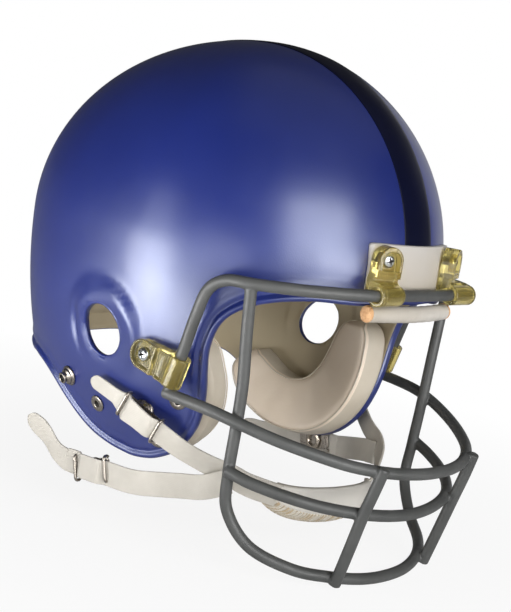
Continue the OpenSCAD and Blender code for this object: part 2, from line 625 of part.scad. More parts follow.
module screw(seat, length) {
  difference() {
    union() {
      translate([0, 0, seat - length]) cylinder(h = length + 1, d = screw_d, $fn = 40);
      translate([0, 0, seat + 0.1]) cylinder(h = 2, d = screw_head_d, $fn = 48);
      intersection() {
        translate([0, 0, seat + 2.1]) cylinder(h = 2, d = screw_head_d, $fn = 48);
        translate([0, 0, seat + 3.6 - 7.5]) sphere(r = 7.5, $fn = 64);
      }
    }
    for (a = [0, 90]) rotate([0, 0, a]) translate([-2.4, -0.6, seat + 2]) cube([4.8, 1.2, 3]);
  }
}
module clip_screws() {
  color("silver") for (side = [right, left]) {
    front_screw_frame(side) screw(front_head_seat, front_head_seat + shell_wall + 6);
    side_screw_frame(side) screw(side_head_seat, side_head_seat + shell_wall + 6);
  }
}
module nut() {
  difference() {
    union() {
      translate([0, 0, -1.2]) cylinder(h = 1.2, d = 9, $fn = 48);
      translate([0, 0, -5]) cylinder(h = 5, d = 6.6, $fn = 40);
    }
    translate([0, 0, -10]) cylinder(h = 20, d = screw_d + 0.2, $fn = 40);
  }
}
module clip_nuts() {
  color("silver") for (side = [right, left]) {
    front_screw_frame(side) translate([0, 0, -shell_wall - 1.4]) nut();
    side_screw_frame(side) translate([0, 0, -shell_wall - 2.1]) nut();
  }
}

// Chin cup: a bowl between its upper and its lower lip, slightly turned
function cup_x(u) = cup_half_width * sin(80 * u) / sin(80);
function cup_top(u) = [cup_x(u), -103 - 8 * u - 15 * (1 - u * u), -76.5];
function cup_low(u) = [0.95 * cup_x(u), -89 - 8 * u - 9 * (1 - u * u),
  -91 - u - 13 * (1 - u * u)];
function cup_face(u, v) = mid(cup_top(u), cup_low(u), v)
  + sin(180 * v) * (10 - 4 * u * u) * [0, -0.76, -0.65];
function cup_point(u, v, depth) = let (
    d = 0.01, a = cup_face(u + d, v) - cup_face(u - d, v), b = cup_face(u, v + d) - cup_face(u, v - d)
  ) cup_face(u, v) - depth * unit(cross(b, a));
module cup_layer(depth, thickness, margin) {
  function layer(d) = [for (v = steps(margin, 1 - margin, 8))
    [for (u = steps(margin - 1, 1 - margin, 14)) cup_point(u, v, d)]];
  color("antiquewhite") sheet_solid(layer(depth), layer(depth + thickness));
}
module chin_cup() { cup_layer(0, cup_wall, 0); }
module chin_cup_liner() { cup_layer(cup_wall + seat_gap, 2.5, 0.07); }

module upper_band(side, grow = 0) {
  route = side == right ? upper_route_right : upper_route_left;
  ribbon(smooth_path(route, 2), [side * 0.1, 0.4, -0.92], [0, 0.3, -0.95],
    [[0, 0.6], [0.04, 0.8], [0.12, 0.85], [0.2, 1], [1, 1]], grow);
}
module upper_strap(side) { color("antiquewhite") upper_band(side); }
module lower_strap(side) {
  route = side == right ? lower_route_right : lower_route_left;
  color("antiquewhite") difference() {
    ribbon(smooth_path(route, 2), [0, 0.1, -1], [0, 0, -1],
      [[0, 1], [0.62, 1], [0.75, 0.85], [0.85, 0.65], [0.93, 0.85], [1, 0.55]]);
    upper_band(side, strap_clearance);
  }
}

// Rectangular buckle: its length along X, the strap's width along Y
module buckle() {
  h = strap_t + 2 * buckle_play + 2 * buckle_wire;
  w = strap_w + 2 * buckle_play + 2 * buckle_wire;
  difference() {
    cube([buckle_len, w, h], center = true);
    cube([2 * buckle_len, strap_w + 2 * buckle_play, strap_t + 2 * buckle_play], center = true);
    cube([buckle_len - 2 * buckle_wire, strap_w - 2, 2 * h], center = true);
  }
}
// Places children with +X along a direction and +Z to one side of the strap
module along(p, d, side) {
  yaw = atan2(d[1], d[0]);
  pitch = -atan2(d[2], norm([d[0], d[1]]));
  translate(p) rotate([0, pitch, yaw]) rotate([side * 90, 0, 0]) children();
}
module upper_buckle(side) {
  color("silver") along(to_side(upper_buckle_mid, side),
    [side * upper_buckle_dir[0], upper_buckle_dir[1], upper_buckle_dir[2]], side) buckle();
}
module lower_buckle(side) {
  route = side == right ? lower_route_right : lower_route_left;
  color("silver") along(side == right ? lower_buckle_mid_right : lower_buckle_mid_left,
    route[6] - route[5], side) buckle();
}
module lower_snap(side) {
  route = side == right ? lower_route_right : lower_route_left;
  gap = strap_t / 2 + seat_gap;
  color("dimgray") along(side == right ? lower_buckle_mid_right : lower_buckle_mid_left,
    route[6] - route[5], side) translate([0, 0, -gap - snap_h]) snap_cap();
}

shell();
centre_stripe();
front_bumper();
brow_roll_cover();
brow_roll_foam();
front_pad();
crown_pad();
rear_pad();
side_pad(right);  // side_pad_right
side_pad(left);  // side_pad_left
jaw_pad(right);  // jaw_pad_right
jaw_pad(left);  // jaw_pad_left
jaw_pad_rivets(right);  // jaw_pad_rivets_right
jaw_pad_rivets(left);  // jaw_pad_rivets_left
rear_stud(right);  // rear_stud_right
rear_stud(left);  // rear_stud_left
upper_stud(right);  // upper_stud_right
upper_stud(left);  // upper_stud_left
brow_bar();
upper_bar();
lower_bar();
u_bar();
front_vertical(right);  // front_vertical_right
front_vertical(left);  // front_vertical_left
front_clip(right);  // front_clip_right
front_clip(left);  // front_clip_left
side_clip(right);  // side_clip_right
side_clip(left);  // side_clip_left
clip_screws();
clip_nuts();
chin_cup();
chin_cup_liner();
upper_strap(right);  // upper_strap_right
upper_strap(left);  // upper_strap_left
upper_buckle(right);  // upper_buckle_right
upper_buckle(left);  // upper_buckle_left
upper_snap(right);  // upper_snap_right
upper_snap(left);  // upper_snap_left
lower_strap(right);  // lower_strap_right
lower_strap(left);  // lower_strap_left
lower_buckle(right);  // lower_buckle_right
lower_buckle(left);  // lower_buckle_left
lower_snap(right);  // lower_snap_right
lower_snap(left);  // lower_snap_left
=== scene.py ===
import math

import bpy
import bmesh
import numpy as np
from mathutils import Matrix, Vector


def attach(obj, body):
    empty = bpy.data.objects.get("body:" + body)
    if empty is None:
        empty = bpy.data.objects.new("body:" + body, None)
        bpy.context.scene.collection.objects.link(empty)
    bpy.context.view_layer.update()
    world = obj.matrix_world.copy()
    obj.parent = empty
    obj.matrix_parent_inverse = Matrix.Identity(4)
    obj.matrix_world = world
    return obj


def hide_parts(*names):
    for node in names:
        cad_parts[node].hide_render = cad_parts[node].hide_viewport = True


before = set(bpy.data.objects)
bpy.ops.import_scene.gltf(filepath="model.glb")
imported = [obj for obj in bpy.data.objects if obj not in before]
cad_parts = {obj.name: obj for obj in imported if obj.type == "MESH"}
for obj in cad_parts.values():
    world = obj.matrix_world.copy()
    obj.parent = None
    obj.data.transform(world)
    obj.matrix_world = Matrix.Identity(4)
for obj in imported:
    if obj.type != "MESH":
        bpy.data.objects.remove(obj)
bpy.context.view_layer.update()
MM = 0.001
SIDES = {"right": -1, "left": 1}
WHITE = (1, 1, 1, 1)


def linked(name, data):
    """New object of the scene."""
    obj = bpy.data.objects.new(name, data)
    bpy.context.scene.collection.objects.link(obj)
    return obj


# camera
def make_camera():
    azimuth, elevation, roll = (math.radians(x) for x in (-51.39, 8.62, 9.35))
    turn = (Matrix.Rotation(azimuth, 4, "Z") @ Matrix.Rotation(math.pi / 2 - elevation, 4, "X")
            @ Matrix.Rotation(roll, 4, "Z"))
    data = bpy.data.cameras.new("camera")
    data.lens, data.sensor_width = 88.5, 36
    data.clip_start, data.clip_end = 0.05, 20
    camera = linked("camera", data)
    camera.matrix_world = Matrix.Translation(Vector((-755.7, -629.5, 165.4)) * MM) @ turn
    bpy.context.scene.camera = camera


make_camera()


# vector helpers
def smooth(a, b, t):
    u = np.clip((np.asarray(t, float) - a) / (b - a), 0, 1)
    return u * u * (3 - 2 * u)


def unit(v):
    v = np.asarray(v, float)
    return v / np.maximum(np.linalg.norm(v, axis=-1, keepdims=True), 1e-12)


def mix(a, b, t):
    return np.asarray(a, float) * (1 - t) + np.asarray(b, float) * t


def quarter(d, low=0):
    """Height of a quarter circle: 0 at d = 0, 1 from d = 1 on."""
    return np.sqrt(np.clip(1 - (1 - np.clip(d, 0, 1)) ** 2, low, 1))


def spline(a, b, c, d, t):
    """Catmull-Rom between b and c."""
    return 0.5 * (2 * b + (c - a) * t + (2 * a - 5 * b + 4 * c - d) * t * t
                  + (3 * b - a - 3 * c + d) * t ** 3)


def run_length(p):
    """Length of a path up to each of its points."""
    return np.concatenate([[0], np.cumsum(np.linalg.norm(np.diff(p, axis=0), axis=1))])


def resample(p, step, count=None):
    s = run_length(p)
    at = np.linspace(0, s[-1], count or max(2, int(round(s[-1] / step)) + 1))
    return np.stack([np.interp(at, s, p[:, k]) for k in range(p.shape[1])], 1)


def catmull(points, step):
    """Smooth path through points, its stations a steady step apart."""
    p = np.array(points, float)
    ext = np.vstack([2 * p[0] - p[1], p, 2 * p[-1] - p[-2]])
    out = [spline(*ext[i:i + 4], t) for i in range(len(p) - 1)
           for t in np.linspace(0, 1, 16, endpoint=False)]
    return resample(np.array(out + [p[-1]]), step)


def turn_angles(count):
    return np.linspace(0, 2 * math.pi, count, endpoint=False)


def rings_on(p, start, sides):
    """Function for the ring round point i of a path, carried along without twist."""
    t = unit(np.gradient(p, axis=0))
    side = [unit(start - t[0] * np.dot(start, t[0]))]
    for i in range(1, len(p)):
        side.append(unit(side[-1] - t[i] * np.dot(side[-1], t[i])))
    normal = np.cross(t, np.array(side))
    c, s = np.cos(turn_angles(sides))[:, None], np.sin(turn_angles(sides))[:, None]
    return lambda i, r, shift=0.0: p[i] + t[i] * shift + r * (c * side[i] + s * normal[i])


# mesh helpers
def solid(name, part, looks, face_looks=None, smooth_faces=True):
    """Object of vertices in mm and faces, its normals outwards."""
    verts, faces = part
    data = bpy.data.meshes.new(name)
    data.from_pydata((np.asarray(verts, float) * MM).tolist(), [], [list(map(int, f)) for f in faces])
    data.update()
    for look in looks:
        data.materials.append(LOOK[look])
    if face_looks is not None:
        data.polygons.foreach_set("material_index", np.asarray(face_looks, np.int32))
    if smooth_faces:
        data.polygons.foreach_set("use_smooth", np.ones(len(data.polygons), bool))
    bm = bmesh.new()
    bm.from_mesh(data)
    bmesh.ops.recalc_face_normals(bm, faces=bm.faces)
    bm.to_mesh(data)
    bm.free()
    return linked(name, data)


def applied(obj, kind, **attrs):
    """Object with one modifier turned into its mesh."""
    mod = obj.modifiers.new(kind, kind)
    for key, value in attrs.items():
        setattr(mod, key, value)
    graph = bpy.context.evaluated_depsgraph_get()
    data = bpy.data.meshes.new_from_object(obj.evaluated_get(graph))
    obj.modifiers.clear()
    obj.data = data
    return obj


def boolean(obj, part, look, operation="DIFFERENCE", **attrs):
    other = solid("cutter", part, [look])
    applied(obj, "BOOLEAN", operation=operation, solver="EXACT", object=other, **attrs)
    bpy.data.objects.remove(other)
    return obj


def remeshed(obj, voxel, steps):
    """Object remade from small voxels, with soft edges."""
    applied(obj, "REMESH", mode="VOXEL", voxel_size=voxel * MM)
    applied(obj, "SMOOTH", factor=0.5, iterations=steps)
    obj.data.polygons.foreach_set("use_smooth", np.ones(len(obj.data.polygons), bool))
    return obj


def mirrored(obj, name):
    data = obj.data.copy()
    co = np.empty(len(data.vertices) * 3)
    data.vertices.foreach_get("co", co)
    co[0::3] *= -1
    data.vertices.foreach_set("co", co)
    data.flip_normals()
    return linked(name, data)


def place(obj, body, replaced=()):
    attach(obj, body)
    if replaced:
        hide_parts(*replaced)
    return obj


def join(parts):
    verts, faces, n = [], [], 0
    for v, f in parts:
        verts.append(np.asarray(v, float))
        faces += [[int(i) + n for i in q] for q in f]
        n += len(v)
    return np.vstack(verts), faces


def grid_faces(rows, cols, base=0, close_cols=False, flip=False):
    faces = []
    for r in range(rows - 1):
        for c in range(cols if close_cols else cols - 1):
            a, b = base + r * cols + c, base + r * cols + (c + 1) % cols
            q = [a, b, b + cols, a + cols]
            faces.append(q[::-1] if flip else q)
    return faces


def loft(rings):
    """Closed solid through rings of equal count."""
    rows, cols = len(rings), len(rings[0])
    faces = grid_faces(rows, cols, close_cols=True)
    faces.append(list(range(cols))[::-1])
    faces.append([(rows - 1) * cols + i for i in range(cols)])
    return np.vstack(rings), faces


def sheet(name, top, bottom, looks, second=None):
    """Closed sheet between two grids of points. Where second holds, its top has the second look."""
    rows, cols = top.shape[:2]
    n = rows * cols
    faces = grid_faces(rows, cols) + grid_faces(rows, cols, base=n, flip=True)
    edge = [(0, c) for c in range(cols)] + [(r, cols - 1) for r in range(1, rows)]
    edge += [(rows - 1, c) for c in range(cols - 2, -1, -1)] + [(r, 0) for r in range(rows - 2, 0, -1)]
    ids = [r * cols + c for r, c in edge]
    faces += [[a, a + n, b + n, b] for a, b in zip(ids, ids[1:] + ids[:1])]
    face_looks = None if second is None else [int(min(q) < n and second.flat[min(q)]) for q in faces]
    return solid(name, (np.vstack([top.reshape(-1, 3), bottom.reshape(-1, 3)]), faces), looks, face_looks)


def tube(points, radius, start=(0, 0, 1), sides=24, step=1.5, rounded=True, curved=True):
    """Round bar along a path, the edges of its ends softened."""
    p = catmull(points, step) if curved else resample(np.array(points, float), step)
    ring = rings_on(p, np.array(start, float), sides)
    edge = 0.25 * radius

    def end(i, way, angles):
        return [ring(i, radius - edge * (1 - math.cos(a)) - edge * math.sin(a) ** 4 * 0.6,
                     way * edge * math.sin(a) * 0.5) for a in np.radians(angles) if rounded]

    return loft(end(0, -1, (80, 50, 20)) + [ring(i, radius) for i in range(len(p))]
                + end(-1, 1, (20, 50, 80)))


def lathed(profile, sides):
    a = turn_angles(sides)
    return [np.stack([r * np.cos(a), r * np.sin(a), np.full(sides, h)], 1) for r, h in profile]


def moved(part, matrix):
    v, f = part
    m = np.array(matrix, float)
    return np.asarray(v) @ m[:3, :3].T + m[:3, 3], f


def lathe(profile, matrix, sides=48):
    """Solid of revolution about +Z from (radius, height) points that start and end on the axis."""
    return moved(loft(lathed(profile, sides)), matrix)


def rod(radius, low, high, matrix, sides):
    return lathe([(0.01, low), (radius, low), (radius, high), (0.01, high)], matrix, sides)


def columns(origin, x, y, z):
    m = np.eye(4)
    m[:3, 0], m[:3, 1], m[:3, 2], m[:3, 3] = x, y, z, origin
    return m


def basis(origin, x, z):
    """Matrix with the given origin, +X and +Z."""
    z = unit(z)
    x = unit(np.asarray(x, float) - z * np.dot(x, z))
    return columns(origin, x, np.cross(z, x), z)


def prism(outline, low, high, matrix):
    """Closed prism of an outline in XY between two heights."""
    o = np.array(outline, float)
    n = len(o)
    verts = np.vstack([np.column_stack([o, np.full(n, h)]) for h in (low, high)])
    faces = [list(range(n))[::-1], [n + i for i in range(n)]]
    faces += [[i, (i + 1) % n, n + (i + 1) % n, n + i] for i in range(n)]
    return moved((verts, faces), matrix)


def box(x0, x1, y0, y1, low, high, matrix):
    return prism([(x0, y0), (x1, y0), (x1, y1), (x0, y1)], low, high, matrix)


# materials
def linear(c):
    return tuple(((x / 255) / 12.92 if x <= 10.31475 else (((x / 255) + 0.055) / 1.055) ** 2.4)
                 for x in c) + (1,)


def node(tree, kind, inputs=None, **attrs):
    """Shader node, its inputs set to values or linked to sockets."""
    n = tree.nodes.new("ShaderNode" + kind)
    for key, value in attrs.items():
        setattr(n, key, value)
    for key, value in (inputs or {}).items():
        if isinstance(value, bpy.types.NodeSocket):
            tree.links.new(value, n.inputs[key])
        else:
            n.inputs[key].default_value = value
    return n


def ramp(tree, fac, stops):
    n = node(tree, "ValToRGB", {"Fac": fac})
    e = n.color_ramp.elements
    while len(e) < len(stops):
        e.new(0.5)
    for i, (pos, colour) in enumerate(stops):
        e[i].position = pos
        e[i].color = colour if len(colour) == 4 else linear(colour)
    return n.outputs["Color"]


class Look:
    """A procedural material: a Principled shader with noise in its colour, gloss and grain."""

    def __init__(self, name, colour, rough, **sockets):
        self.mat = bpy.data.materials.new(name)
        self.mat.use_nodes = True
        self.tree = self.mat.node_tree
        self.shader = self.tree.nodes["Principled BSDF"]
        self.shader.inputs["Base Color"].default_value = linear(colour)
        self.shader.inputs["Roughness"].default_value = rough
        for key, value in sockets.items():
            self.shader.inputs[key.replace("_", " ")].default_value = value
        self.coords = node(self.tree, "TexCoord").outputs["Object"]
        self.normal = {}

    def set(self, name, socket):
        self.tree.links.new(socket, self.shader.inputs[name])
        return self

    def noise(self, scale, detail, rough=0.55):
        return node(self.tree, "TexNoise", {"Vector": self.coords, "Scale": scale,
                                            "Detail": detail, "Roughness": rough}).outputs["Fac"]

    def cells(self, scale):
        return node(self.tree, "TexVoronoi", {"Vector": self.coords, "Scale": scale}).outputs["Distance"]

    def bands(self, scale, distortion, direction):
        return node(self.tree, "TexWave", {"Vector": self.coords, "Scale": scale, "Distortion": distortion,
                                           "Detail": 2}, wave_type="BANDS",
                    bands_direction=direction).outputs["Fac"]

    def tones(self, scale, detail, low, high):
        return ramp(self.tree, self.noise(scale, detail), [(0.3, low), (0.7, high)])

    def ranged(self, fac, low, high, a, b):
        return node(self.tree, "MapRange", {"Value": fac, "From Min": a, "From Max": b,
                                            "To Min": low, "To Max": high}).outputs["Result"]

    def blend(self, fac, a, b):
        colour_a, colour_b, colour_out = 6, 7, 2
        return node(self.tree, "Mix", {0: fac, colour_a: a, colour_b: b}, data_type="RGBA").outputs[colour_out]

    def mottled(self, scale, detail, low, high):
        return self.set("Base Color", self.tones(scale, detail, low, high))

    def worn(self, scale, detail, low, high):
        return self.set("Roughness", self.ranged(self.noise(scale, detail), low, high, 0.3, 0.7))

    def bumped(self, height, strength, distance):
        n = node(self.tree, "Bump", {"Height": height, "Strength": strength, "Distance": distance,
                                     **self.normal})
        self.normal = {"Normal": n.outputs["Normal"]}
        return self.set("Normal", n.outputs["Normal"])

    def grained(self, scale, detail, strength, distance):
        return self.bumped(self.noise(scale, detail), strength, distance)

    def painted_shade_along(self, axis, low, high, tones, grain):
        """Painted shade: colour that changes steadily along one axis, darker at its low end, with a little mottling.
        """
        where = node(self.tree, "SeparateXYZ", {"Vector": self.coords}).outputs[axis]
        steady = ramp(self.tree, self.ranged(where, 0, 1, low, high), tones)
        return self.set("Base Color", self.blend(
            0.25, steady, self.tones(grain, 4, tones[0][1], tones[-1][1])))


def metal(name, colour, rough, dark=(60, 56, 50)):
    k = Look(name, colour, rough[0], Metallic=1.0)
    k.set("Base Color", ramp(k.tree, k.noise(350, 5, 0.7), [(0.16, dark), (0.30, colour), (0.75, colour)]))
    return k.worn(500, 4, *rough).grained(900, 3, 0.08, 0.0002)


def vinyl(name, low, high, rough, wrinkle=0.1):
    k = Look(name, low, rough[0]).mottled(18, 4, low, high).worn(90, 3, *rough)
    return k.bumped(k.cells(420), 0.12, 0.0003).grained(60, 4, wrinkle, 0.002)


def webbing():
    k = Look("strap_web", (208, 203, 192), 0.55, Sheen_Weight=0.1)
    k.mottled(45, 4, (180, 175, 165), (198, 193, 183))
    return k.bumped(k.bands(420, 1.5, "DIAGONAL"), 0.10, 0.0003).grained(900, 4, 0.15, 0.0003)


def ribbed():
    """Gathered cover of the chin cup: fine ribs across it, a darker tan between them."""
    k = Look("cup_ribbed", (206, 198, 182), 0.62)
    wave = k.bands(157, 1.2, "X")
    ribs = ramp(k.tree, wave, [(0.12, (176, 148, 104)), (0.35, (200, 190, 170)), (0.7, (216, 210, 198))])
    k.set("Base Color", k.blend(0.35, ribs, k.tones(30, 4, (190, 178, 156), (216, 208, 194))))
    return k.bumped(wave, 0.5, 0.0006).grained(500, 4, 0.2, 0.0003)


def foam_look():
    k = Look("foam_peach", (226, 172, 126), 0.9).mottled(120, 4, (196, 142, 92), (226, 182, 138))
    return k.bumped(k.cells(900), 0.8, 0.0008)


LOOK = {
    "shell": Look("shell_blue", (20, 34, 104), 0.36, Specular_IOR_Level=1.0,
                  Specular_Tint=linear((222, 232, 255)), Coat_Weight=0.55, Coat_Roughness=0.24)
    .mottled(9, 2, (17, 31, 99), (22, 37, 110)).worn(60, 4, 0.34, 0.40)
    .grained(1100, 2, 0.16, 0.0004).grained(35, 2, 0.03, 0.002),
    "inner": Look("shell_inside_khaki", (176, 164, 138), 0.62)
    .mottled(12, 3, (166, 152, 124), (186, 174, 148)).grained(700, 3, 0.15, 0.0004),
    "stripe": Look("stripe_navy", (7, 9, 30), 0.34, Specular_IOR_Level=0.16)
    .mottled(14, 2, (6, 8, 27), (9, 12, 36)).worn(80, 4, 0.32, 0.40).grained(800, 2, 0.08, 0.0003),
    # the bumper's colour darkens towards its bottom: painted shadow of the brow bar; its mottling is tone
    "bumper": Look("bumper_cream", (196, 190, 184), 0.42)
    .painted_shade_along("Z", 0.052, 0.082, [(0.0, (178, 169, 153)), (0.45, (184, 177, 167)), (1.0, (190, 186, 182))], 25)
    .worn(120, 3, 0.38, 0.5).grained(500, 3, 0.1, 0.0004),
    # the roll's cover darkens towards its low-X end: painted shade of the face guard bars
    "roll": Look("roll_vinyl", (206, 200, 192), 0.5)
    .painted_shade_along("X", -0.041, 0.041, [(0.0, (170, 161, 147)), (0.4, (188, 181, 170)), (1.0, (210, 206, 200))], 30)
    .worn(90, 3, 0.42, 0.55).grained(60, 4, 0.2, 0.002).grained(700, 3, 0.12, 0.0003),
    "foam": foam_look(),
    "pad": vinyl("liner_pad", (170, 156, 128), (186, 173, 146), (0.5, 0.65)),
    "jaw": vinyl("jaw_vinyl", (226, 210, 190), (234, 220, 203), (0.42, 0.55), wrinkle=0.06),
    # darker colour of the jaw pad's side wall and piping: painted shade
    "jaw_side": vinyl("jaw_wall_painted_shade", (192, 181, 163), (206, 197, 182), (0.5, 0.6)),
    "guard": Look("guard_grey", (80, 81, 80), 0.36, Specular_IOR_Level=0.5)
    .mottled(40, 3, (66, 67, 66), (80, 81, 80)).worn(220, 3, 0.40, 0.54)
    .grained(130, 2, 0.12, 0.0008).grained(900, 2, 0.05, 0.0003),
    "clip": Look("clip_amber", (198, 180, 100), 0.14, Transmission_Weight=0.9, IOR=1.46)
    .mottled(70, 3, (196, 178, 92), (226, 212, 144)).worn(160, 3, 0.10, 0.22).grained(240, 2, 0.05, 0.0004),
    "nickel": metal("nickel", (158, 151, 142), (0.22, 0.38)),
    "screw": metal("screw_zinc", (205, 208, 210), (0.16, 0.28), (90, 92, 96)),
    # near-black metal in the screws' crosses and the hollows of rivets and studs: painted shade
    "recess": metal("recess_painted_shade", (52, 50, 48), (0.4, 0.6), (20, 20, 20)),
    "socket": metal("socket_nickel", (176, 166, 152), (0.2, 0.36), (74, 66, 58)),
    "strap": webbing(),
    "cup": vinyl("cup_vinyl", (206, 202, 194), (218, 214, 206), (0.4, 0.5)),
    "ribbed": ribbed(),
    "liner": vinyl("cup_foam", (190, 178, 162), (204, 194, 180), (0.7, 0.8)),
}
LOOK = {key: look.mat for key, look in LOOK.items()}


# the dome
HALF_W, FRONT, REAR, HEIGHT, WIDE_Z, AXIS_Y = 116.5, 134.0, 148.0, 127.5, 60.0, -10.0
FRONT_POWER, REAR_POWER = 1.9, 2.35
WALL, EAR_R = 3.6, 16.0
BROW_Z, NAPE_Z = 45.6, -33.0


def shrink(z, reach):
    return np.sqrt(np.maximum(0, 1 - (np.maximum(0, WIDE_Z - z) / reach) ** 2))


def dome_scale(z):
    return np.sqrt(np.clip(1 - (np.maximum(0, z - WIDE_Z) / HEIGHT) ** 2, 0, 1))


def half_width(z):
    return dome_scale(z) * HALF_W * shrink(z, 202)


def half_length(front, z):
    return dome_scale(z) * np.where(front, FRONT * shrink(z, 260), REAR * shrink(z, 230))


def power(q):
    return FRONT_POWER + 0.45 * smooth(-0.4, 0.4, q)


def long_share(s):
    """Share of the half length where the sine of the turn round the pole is s."""
    q = s
    for _ in range(4):
        q = np.sign(s) * np.abs(s) ** (2 / power(q))
    return q


def dome_point(t, z):
    s, c = np.sin(t), np.cos(t)
    q = long_share(s)
    y = AXIS_Y + q * half_length(s < 0, z)
    return np.stack([-np.sign(c) * half_width(z) * np.abs(c) ** (2 / power(q)), y, z + 0 * q], -1)


def side_x(y, z):
    y, z = np.asarray(y, float), np.asarray(z, float)
    q = (y - AXIS_Y) / half_length(y < AXIS_Y, z)
    n = power(q)
    return half_width(z) * np.maximum(0, 1 - np.abs(q) ** n) ** (1 / n)


def level(r):
    return np.where(r < 1, WIDE_Z + HEIGHT * np.cos(np.pi / 2 * np.minimum(r, 1)),
                    WIDE_Z - (r - 1) * HEIGHT * np.pi / 2)


def pole_distance(z):
    z = np.asarray(z, float)
    return np.where(z > WIDE_Z, np.arccos(np.clip((z - WIDE_Z) / HEIGHT, -1, 1)) / (np.pi / 2),
                    1 + (WIDE_Z - z) / (HEIGHT * np.pi / 2))


def map_point(m):
    """Dome point at a place of the flat map round the pole."""
    m = np.asarray(m, float)
    return dome_point(np.arctan2(m[..., 1], m[..., 0]), level(np.linalg.norm(m, axis=-1)))


def map_normal(m):
    d = 0.004
    a = map_point(m + np.array([d, 0])) - map_point(m - np.array([d, 0]))
    b = map_point(m + np.array([0, d])) - map_point(m - np.array([0, d]))
    return unit(np.cross(b, a))


def to_map(p):
    x, y, z = np.moveaxis(np.asarray(p, float), -1, 0)
    q = (y - AXIS_Y) / half_length(y < AXIS_Y, z)
    n = power(q) / 2
    t = np.arctan2(np.sign(q) * np.abs(q) ** n, -np.sign(x) * np.abs(x / half_width(z)) ** n)
    r = pole_distance(z)
    return np.stack([r * np.cos(t), r * np.sin(t)], -1)


def side_map(y, z, side=-1):
    return to_map(np.stack([side * side_x(y, z), y, z], -1))


def face_map(x, z, front=True):
    """Map place over x and z on the front or the rear."""
    x, z = np.broadcast_arrays(np.asarray(x, float), np.asarray(z, float))
    n = FRONT_POWER if front else REAR_POWER
    y = AXIS_Y + (-1 if front else 1) * half_length(front, z) * (1 - (np.abs(x) / half_width(z)) ** n) ** (1 / n)
    return to_map(np.stack([x, y, z], -1))


def bulge(p):
    """Moulded ear bulge: a ridge in front of the hole, a groove above and behind it, a rounded lip."""
    y, z = p[..., 1], p[..., 2]
    r = np.hypot(y, z)
    body = 3.2 * smooth(35, 25, r) * (0.25 + 0.75 * smooth(-8, 20, z))
    crest = 1.3 * np.exp(-((r - 27) / 3.6) ** 2) * smooth(4, -20, y) * smooth(-24, 0, z)
    groove = -1.4 * np.exp(-((r - 26.5) / 2.4) ** 2) * smooth(-14, 6, y) * smooth(-26, -6, z)
    lip = -0.9 * smooth(20, 16, r)
    return (body * smooth(-14, 6, z - 0.4 * y) + crest + groove + lip) * (np.abs(p[..., 0]) > 60)


def skin(m, lift=0.0):
    """Points of the shell's outside at map places, lifted off it."""
    p = map_point(m)
    return p + map_normal(m) * np.asarray(lift + bulge(p))[..., None]


RIM_SIDE = [
    (-138, 44.8), (-130, 43.4), (-116, 42.5), (-103, 39), (-93, 34.5), (-84.5, 28), (-79, 21),
    (-75.5, 12), (-73.5, 2), (-73, -10), (-72.5, -22), (-70.5, -34), (-66, -46.5),
    (-58, -58), (-47, -67.5), (-34, -73.5), (-20, -76), (-5, -75), (9, -72), (19, -68),
    (28, -62.5), (36, -56.5), (44, -50.5), (53, -43.8), (64, -38), (77, -34.5), (94, -33), (116, -33)]
RIM_COUNT = 420


def rim_map_loop():
    """Even places round the rim, from the brow over the wearer's right to the nape and back."""
    right = [tuple(side_map(y, z)) for y, z in RIM_SIDE]
    m = np.array([(0.0, -float(pole_distance(BROW_Z)))] + right + [(0.0, float(pole_distance(NAPE_Z)))]
                 + [(-a, b) for a, b in right[::-1]])
    n = len(m)
    dense = [spline(m[i - 1], m[i], m[(i + 1) % n], m[(i + 2) % n], t)
             for i in range(n) for t in np.arange(12) / 12]
    dense = np.array(dense + [dense[0]])
    s = run_length(map_point(dense))
    at = np.linspace(0, s[-1], RIM_COUNT, endpoint=False)
    return np.stack([np.interp(at, s, dense[:, k]) for k in (0, 1)], 1)


RIM = rim_map_loop()
RIM_POINT = map_point(RIM)
RIM_IN = unit(np.cross(np.roll(RIM_POINT, -1, 0) - np.roll(RIM_POINT, 1, 0), map_normal(RIM)))
for _ in range(3):
    RIM_IN = unit(RIM_IN + 0.5 * (np.roll(RIM_IN, 1, 0) + np.roll(RIM_IN, -1, 0)))


def rim_inset(d):
    return to_map(RIM_POINT + d * RIM_IN)


# distance from the rim and height above the dome: edge roll, groove, shoulder
BEAD_ROWS = [(0.0, -1.2), (0.15, 0.4), (0.6, 1.3), (1.3, 1.9), (2.2, 2.15), (3.1, 1.95), (3.9, 1.35),
             (4.6, 0.55), (5.2, 0.1), (5.9, 0.0), (6.8, 0.35), (7.8, 0.7), (9.0, 0.72), (10.4, 0.45),
             (12.0, 0.15), (13.5, 0.0)]
INNER_ROWS = [(0.0, -2.4), (0.5, -3.1), (1.4, -3.55), (4.0, -3.6), (13.5, -3.6)]


def front_screw_frame(side):
    x, z = side * 30.6 - 1.8, 73.0
    y = AXIS_Y - float(half_length(True, z)) * (
        1 - (abs(x) / float(half_width(z))) ** FRONT_POWER) ** (1 / FRONT_POWER)
    yaw = math.radians(20 * side)
    return np.array([x, y, z]), np.array([math.sin(yaw), -math.cos(yaw), 0])


SIDE_TILT = math.radians(11)


def side_screw_frame(side):
    y, z = -62.6 + 24 * math.cos(SIDE_TILT), -10.4 + 24 * math.sin(SIDE_TILT)
    return np.array([side * float(side_x(y, z)), y, z]), np.array([side, 0.0, 0.0])


